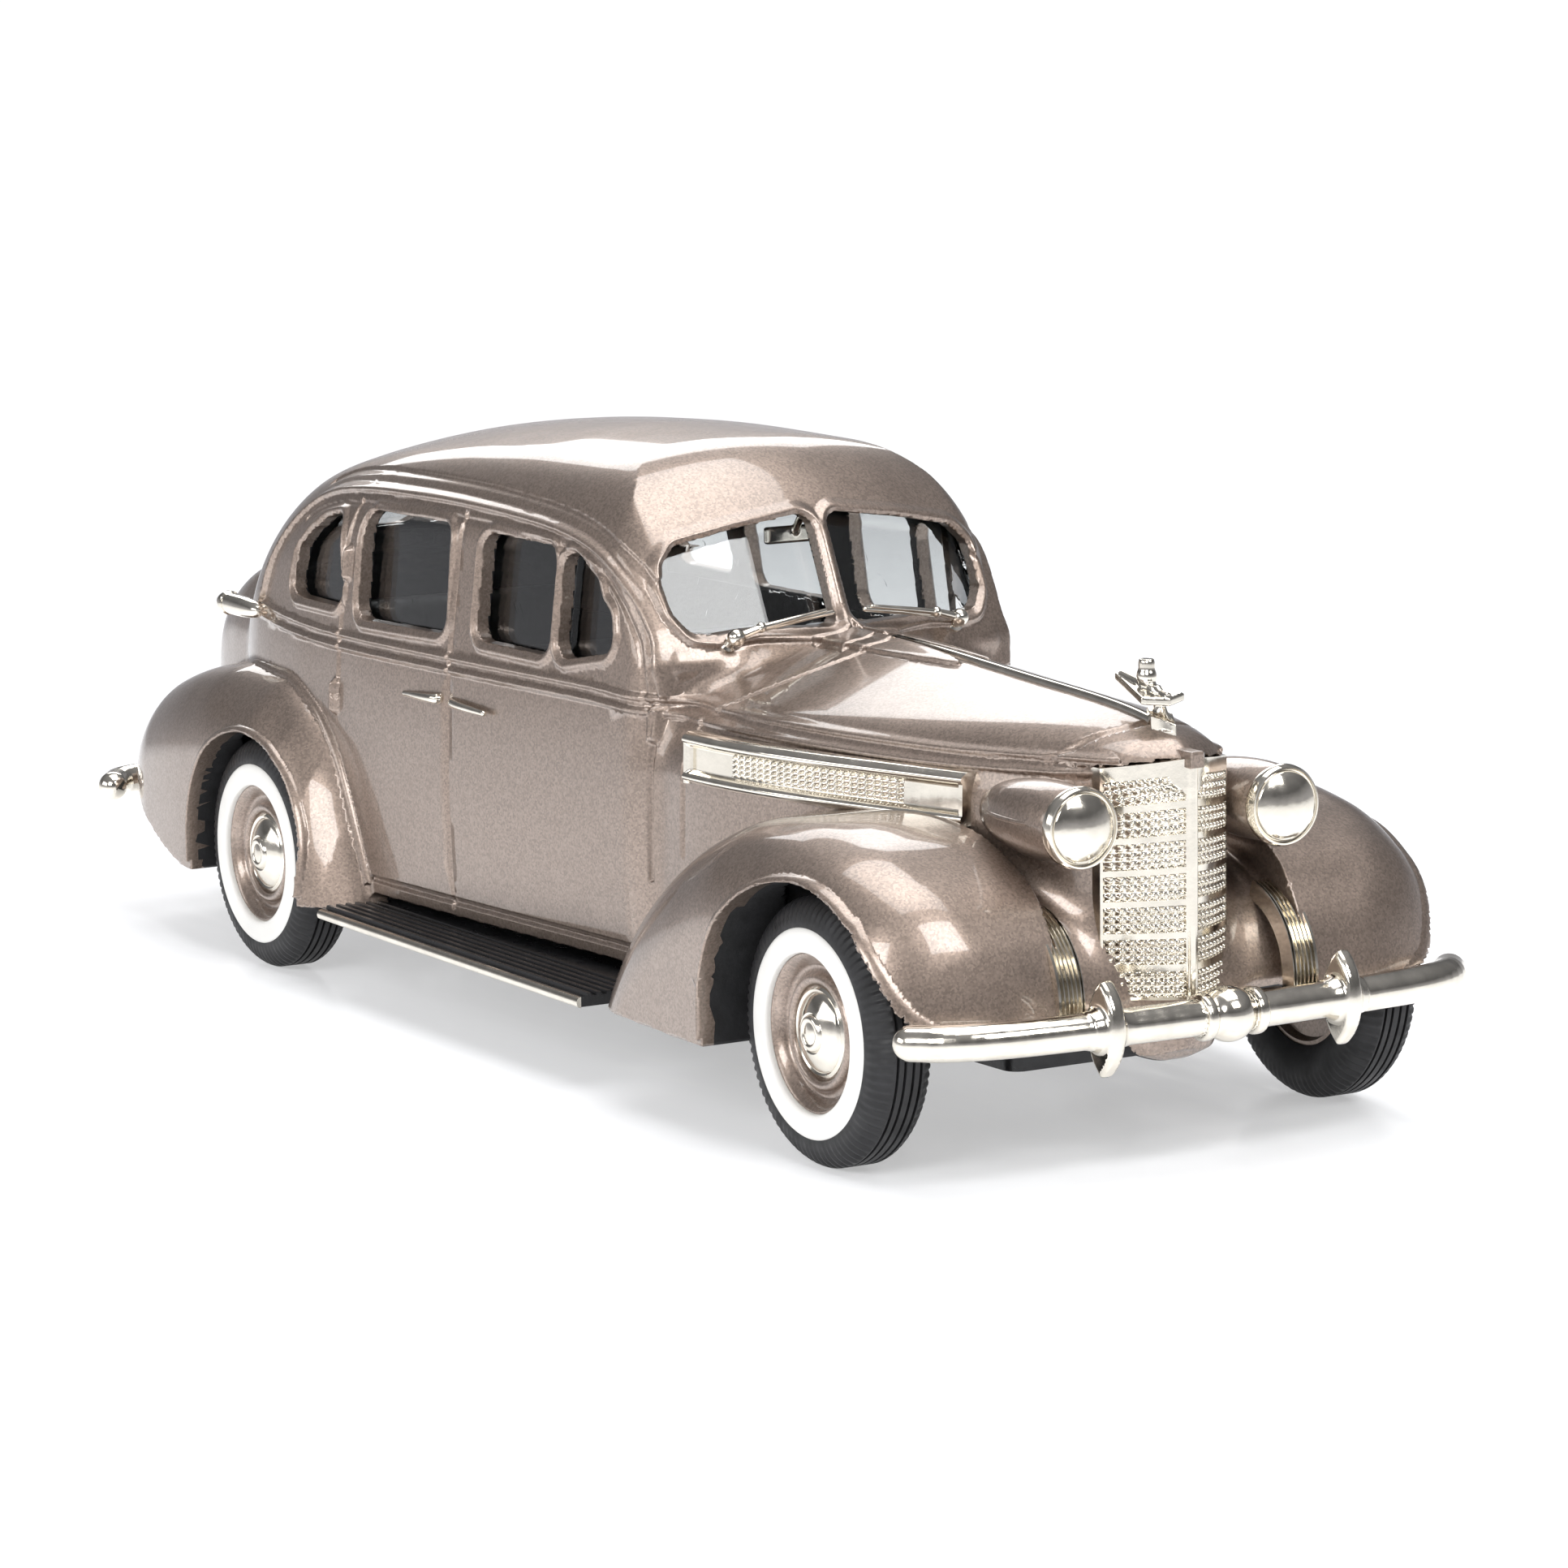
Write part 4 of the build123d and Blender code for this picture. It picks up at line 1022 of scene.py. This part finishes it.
# ---- side and rear brightwork
def handle_parts(x, y, z, forward):
    """Tapered lever on a round collar at the end next to the shut line."""
    root = x - forward * 1.9
    tip = x + forward * 2.3
    bend = [(root - forward * 0.3, y + 0.5, z + 0.05), (root, y + 0.78, z + 0.05),
            (root + forward * 1.4, y + 0.86, z), (root + forward * 3.0, y + 0.82, z - 0.05),
            (tip, y + 0.7, z - 0.12)]
    collar = [(0.0, -0.5), (0.52, -0.5), (0.56, 0.08), (0.44, 0.2), (0.34, 0.34), (0.3, 0.62), (0.0, 0.66)]
    path = softened(bend)
    radii = list(np.interp(range(len(path)), [0, 2, 9, 16], [0.3, 0.36, 0.3, 0.2]))
    return [tube(path, radii, 14), lathe(collar, (root, y, z), (0, 1, 0), 32)]


def lamp_parts():
    """Bullet lamp trailing back from its stalk, with a ring before its rear end."""
    profile = [(0.0, -1.0), (0.3, -0.9), (0.5, -0.5), (0.62, 0.3), (0.72, 1.6), (0.74, 3.2), (0.74, 4.3),
               (0.84, 4.4), (0.84, 4.75), (0.72, 4.85), (0.66, 5.3), (0.5, 5.75), (0.25, 6.0), (0.0, 6.05)]
    stalk = [(0.0, -1.2), (0.62, -1.2), (0.62, -0.2), (0.45, 0.1), (0.42, 1.2), (0.0, 1.3)]
    return [lathe(profile, (-34.9, 16.3, 23.9), (-1, -0.05, 0), 40),
            lathe(stalk, (-34.6, 14.9, 23.9), (0, 1, 0), 32)]


def wiper_parts(side):
    """Knuckle on a spindle, a flat arm and a thin blade along the foot of the screen."""
    knuckle = (17.0, side * 8.15, 27.0)
    elbow = (17.05, side * 6.4, 27.5)
    tip = (16.95, side * 1.7, 28.2)
    blade = [(16.7, side * 6.6, 27.25), (16.85, side * 4.0, 27.7), (16.95, side * 1.2, 28.05)]
    spindle = [(0.0, -0.9), (0.5, -0.9), (0.52, 0.0), (0.36, 0.12), (0.3, 0.5), (0.0, 0.55)]
    flat = [(-0.1, -0.14), (-0.1, 0.14), (0.1, 0.14), (0.1, -0.14)]
    return [lathe(spindle, (16.2, side * 8.3, 26.5), (0.75, 0, 0.66), 28), ball(knuckle, 0.58),
            tube([knuckle, elbow, tip], [0.3, 0.22, 0.13], 12), ball(elbow, 0.34),
            swept(blade, flat), tube(blade, [0.16, 0.2, 0.16], 10)]


def along_sill(section):
    """A (y, z) section carried along the left sill."""
    return swept([(x, 0, 0) for x in (-18.5, -6.0, 6.0, 17.5)], [(-y, z) for y, z in section])


def board_part():
    """Running board: a plain inner apron and six ribs along the tread."""
    section = [(13.6, 5.2), (13.6, 5.88), (15.25, 5.9)]
    for k in range(6):
        left = 15.5 + 0.7 * k
        section += [(left, 5.82), (left + 0.06, 6.04), (left + 0.34, 6.04), (left + 0.4, 5.82)]
    section += [(19.72, 5.86), (19.76, 5.78), (19.76, 5.2)]
    return along_sill(section)


def board_trim_part():
    """Half-round bright strip along the running board's edge."""
    section = [(19.76, 5.12), (19.76, 5.84)]
    for angle in np.linspace(0.1, math.pi - 0.1, 9):
        section.append((19.8 + 0.28 * math.sin(angle), 5.48 + 0.34 * math.cos(angle)))
    return along_sill(section)


def bracket_part(x_back, x_front, z):
    """Flat bumper arm with rolled edges."""
    section = softened([(-0.75, -0.5), (-0.75, 0.5), (0.75, 0.5), (0.75, -0.5)], 2, True)
    path = [(x, 0, z) for x in (x_back, (x_back + x_front) / 2, x_front)]
    return swept(path, section)


def make_brackets():
    for node, y in (("front_bumper_brackets", 5.6), ("rear_bumper_brackets", 6.0)):
        low, high = box_mm(node)
        arm = bracket_part(low[0], high[0], (low[2] + high[2]) / 2)
        arms = [(arm[0] + np.array([0, side * y, 0]), arm[1]) for side in (1, -1)]
        finished(node, arms, NICKEL)


def make_pairs():
    """Brightwork that comes in left and right versions."""
    left = {
        "headlight_pod": (pod_parts(), PAINT),
        "headlight_lens": (lens_parts(), CAST_NICKEL),
        "hood_louvre": ([louvre_part()], CAST_NICKEL),
        "fender_vent": (vent_part(), NICKEL),
        "tail_light": (lamp_parts(), NICKEL),
        "rear_door_handle": (handle_parts(-10.5, 15.35, 20.8, -1), NICKEL),
        "front_door_handle": (handle_parts(-4.7, 15.0, 20.7, 1), NICKEL),
        "running_board": ([board_part()], PLASTIC),
        "running_board_trim": ([board_trim_part()], NICKEL),
    }
    for name, (parts, material) in left.items():
        finished(name + "_left", parts, material)
        finished(name + "_right", [flipped(part) for part in parts], material)
    for word, side in SIDES.items():
        finished("wiper_" + word, wiper_parts(side), NICKEL)


# ---- glazing
GLASS_GAP = 0.25
GLASS_T = 0.5


def make_glazing():
    """Clear panes moulded to follow the inside of the casting."""
    for node in ("windscreen", "side_glass_left", "side_glass_right", "rear_screen"):
        low, high = box_mm(node)
        middle = centre_mm(node)
        half = [(b - a) / 2 - 0.02 for a, b in zip(low, high)]

        def pane(x, y, z):
            depth = main_body(x, np.abs(y), z) + WALL + GLASS_GAP
            edges = [np.abs(v - m) - h for v, m, h in zip((x, y, z), middle, half)]
            return common(depth, -depth - GLASS_T, *edges)

        finished(node, [field_part(pane, low, high, 0.24, 0.5)], GLAZING)


# ---- interior
def make_bench(node):
    """Bench seat with a rounded cushion and squab, and upright pleats sewn into both."""
    low, high = box_mm(node)
    cushion_top = low[2] + 6.0
    lean = math.tan(math.radians(12))

    def field(x, y, z):
        side = np.abs(y) - high[1] + 0.15
        pleat = 0.14 * np.abs(np.sin(y * math.pi / 1.8)) - 0.14
        cushion = rounded([side, z - cushion_top - pleat, x - high[0] + 0.1], 1.4)
        cushion = common(cushion, low[2] + 0.05 - z)
        front = x - (low[0] + 4.6) + (z - low[2]) * lean - pleat
        squab = rounded([side, front, z - high[2] + 0.1], 1.3)
        squab = common(squab, low[0] + 0.1 - x, low[2] + 0.05 - z)
        return blended(cushion, squab, 0.4)

    finished(node, [field_part(field, low, high, 0.3, 0.6)], VINYL)


def make_dashboard():
    """Rolled dash board with two round dials and a lip along its top."""
    low, high = box_mm("dashboard")
    outline = softened([(high[0], low[2]), (high[0], high[2] - 0.6), (12.2, high[2]), (11.2, high[2] - 0.3),
                        (10.6, 23.6), (10.7, 21.5), (low[0] + 1.0, low[2])], 2, True)
    board = swept([(0, y, 0) for y in (low[1], 0, high[1])], outline)
    dial = [(0.0, -0.3), (1.25, -0.3), (1.25, 0.25), (1.1, 0.32), (1.0, 0.15), (0.0, 0.12)]
    dials = [lathe(dial, (10.75, y, 22.6), (-1, 0, 0.1), 32) for y in (5.6, -3.4)]
    finished("dashboard", [board] + dials, BROWN)


def make_steering_wheel():
    """Three-spoke wheel with a thumb-gripped rim, a domed horn button and its column."""
    tilt = math.radians(32)
    axis = Vector((-math.cos(tilt), 0, math.sin(tilt)))
    centre = Vector((8.2, centre_mm("steering_wheel")[1], 22.0))
    across = Vector((0, 1, 0))
    other = axis.cross(across)
    rim_r, grip = 4.28, 0.3
    turn = np.linspace(0, 2 * math.pi, 14, endpoint=False)
    rim = [(rim_r + grip * math.cos(a), grip * math.sin(a)) for a in turn]

    def fingers(radius, _, k):
        return 0.05 if k % 8 < 5 and radius < rim_r else 0

    parts = [lathe(rim, centre, axis, 144, True, fingers)]
    hub = [(0.0, -0.6), (0.7, -0.6), (0.85, -0.2), (0.85, 0.2), (0.7, 0.38), (0.55, 0.36), (0.4, 0.48),
           (0.0, 0.52)]
    parts.append(lathe(hub, centre, axis, 40))
    for k in range(3):
        angle = math.radians(90 + 120 * k)
        out = across * math.cos(angle) + other * math.sin(angle)
        spoke = [centre + out * reach for reach in (0.6, 2.4, rim_r - 0.05)]
        parts.append(tube(spoke, [0.28, 0.2, 0.24], 12))
    column = [centre - axis * down for down in (0.4, 3.0, 5.4)]
    parts.append(tube(column, [0.42, 0.45, 0.5], 16))
    finished("steering_wheel", parts, BROWN)


def make_mirror():
    """Rear-view mirror: a rounded shell with a bright face on a short stem."""

    def field(x, y, z):
        shell = rounded([np.abs(y) - 2.15, np.abs(z - 32.15) - 0.52, np.abs(x - 10.25) - 0.24], 0.2)
        stem = run_distance(x, y, z, [(10.4, 0, 32.4), (11.1, 0, 33.3)]) - 0.24
        return blended(shell, stem, 0.2)

    finished("rear_view_mirror", [field_part(field, (9.7, -2.5, 31.3), (11.6, 2.5, 33.8), 0.1)], NICKEL)


def finish_cad_nodes():
    """Nodes whose CAD shape is already right keep it and take a finish."""
    kept = {"front_axle": STEEL, "rear_axle": STEEL, "baseplate_screws": STEEL, "baseplate": PLASTIC,
            "interior_tub": VINYL}
    for node, material in kept.items():
        obj = frame["nodes"][node]
        obj.data.materials.clear()
        obj.data.materials.append(material)


# ---- stage, light and camera
CAMERA_AT = (315.5, -181.4, 73.55)
CAMERA_ANGLES = (59.4, 9.17, -0.71)
CAMERA_LENS = 129.7


def make_floor():
    mesh = bpy.data.meshes.new("floor")
    tidy = bmesh.new()
    bmesh.ops.create_circle(tidy, cap_ends=True, segments=64, radius=0.45)
    tidy.to_mesh(mesh)
    tidy.free()
    mesh.materials.append(floor_finish())
    floor = bpy.data.objects.new("floor", mesh)
    bpy.context.scene.collection.objects.link(floor)


def make_world():
    """White all round to the eye; for lighting, bright overhead and dimmer at the horizon."""
    world = bpy.data.worlds.new("studio")
    bpy.context.scene.world = world
    world.use_nodes = True
    nodes, links = world.node_tree.nodes, world.node_tree.links
    place, split, ramp, lighting, ray, mix = (nodes.new("ShaderNode" + kind) for kind in (
        "TexCoord", "SeparateXYZ", "ValToRGB", "Background", "LightPath", "MixShader"))
    stops = ramp.color_ramp.elements
    stops[0].position, stops[0].color = 0.0, (0.42, 0.42, 0.44, 1)
    stops[1].position, stops[1].color = 0.8, (0.28, 0.28, 0.29, 1)
    stops.new(0.25).color = (0.12, 0.12, 0.125, 1)
    seen = nodes["Background"]
    seen.inputs["Color"].default_value = (1, 1, 1, 1)
    seen.inputs["Strength"].default_value = 1.05
    lighting.inputs["Strength"].default_value = 1.0
    links.new(place.outputs["Generated"], split.inputs["Vector"])
    links.new(split.outputs["Z"], ramp.inputs["Fac"])
    links.new(ramp.outputs["Color"], lighting.inputs["Color"])
    links.new(ray.outputs["Is Camera Ray"], mix.inputs["Fac"])
    links.new(lighting.outputs["Background"], mix.inputs[1])
    links.new(seen.outputs["Background"], mix.inputs[2])
    links.new(mix.outputs["Shader"], nodes["World Output"].inputs["Surface"])


def softbox(name, place, aim, size, power):
    light = bpy.data.lights.new(name, "AREA")
    light.shape = "RECTANGLE"
    light.size, light.size_y = size
    light.energy = power
    lamp = bpy.data.objects.new(name, light)
    lamp.location = place
    lamp.rotation_euler = (Vector(aim) - Vector(place)).to_track_quat("-Z", "Y").to_euler()
    bpy.context.scene.collection.objects.link(lamp)


def make_lights():
    softbox("overhead", (0.0, 0.05, 0.6), (0, 0, 0.02), (0.6, 0.45), 3.0)
    softbox("right_front", (0.36, -0.5, 0.34), (0.02, 0, 0.015), (0.3, 0.26), 1.9)
    softbox("windscreen_key", (0.56, 0.08, 0.49), (0.02, 0, 0.03), (0.34, 0.26), 2.2)
    softbox("right_side", (-0.15, -0.6, 0.22), (0, 0, 0.015), (0.5, 0.2), 0.9)
    softbox("rear_fill", (-0.55, 0.25, 0.35), (0, 0, 0.02), (0.4, 0.3), 1.2)


def make_camera():
    azimuth, elevation, roll = (math.radians(a) for a in CAMERA_ANGLES)
    back = Vector((math.sin(azimuth) * math.cos(elevation), -math.cos(azimuth) * math.cos(elevation),
                   math.sin(elevation)))
    right = Vector((math.cos(azimuth), math.sin(azimuth), 0))
    up = back.cross(right)
    tilted_right = right * math.cos(roll) + up * math.sin(roll)
    tilted_up = up * math.cos(roll) - right * math.sin(roll)
    camera = bpy.data.objects.new("camera", bpy.data.cameras.new("camera"))
    camera.data.lens = CAMERA_LENS
    camera.data.sensor_width = 36.0
    camera.data.clip_start = 0.01
    turn = Matrix((tilted_right, tilted_up, back)).transposed()
    camera.matrix_world = Matrix.Translation(Vector(CAMERA_AT) * MM) @ turn.to_4x4()
    bpy.context.scene.collection.objects.link(camera)
    bpy.context.scene.camera = camera


# ---- the model
bpy.context.scene.view_settings.view_transform = "Standard"
make_camera()
make_world()
make_lights()
make_floor()
make_body()
make_glazing()
make_wheels()
make_grille()
make_hood_strip()
make_ornament()
make_bumpers()
make_brackets()
make_pairs()
make_bench("front_seat")
make_bench("rear_seat")
make_dashboard()
make_steering_wheel()
make_mirror()
finish_cad_nodes()
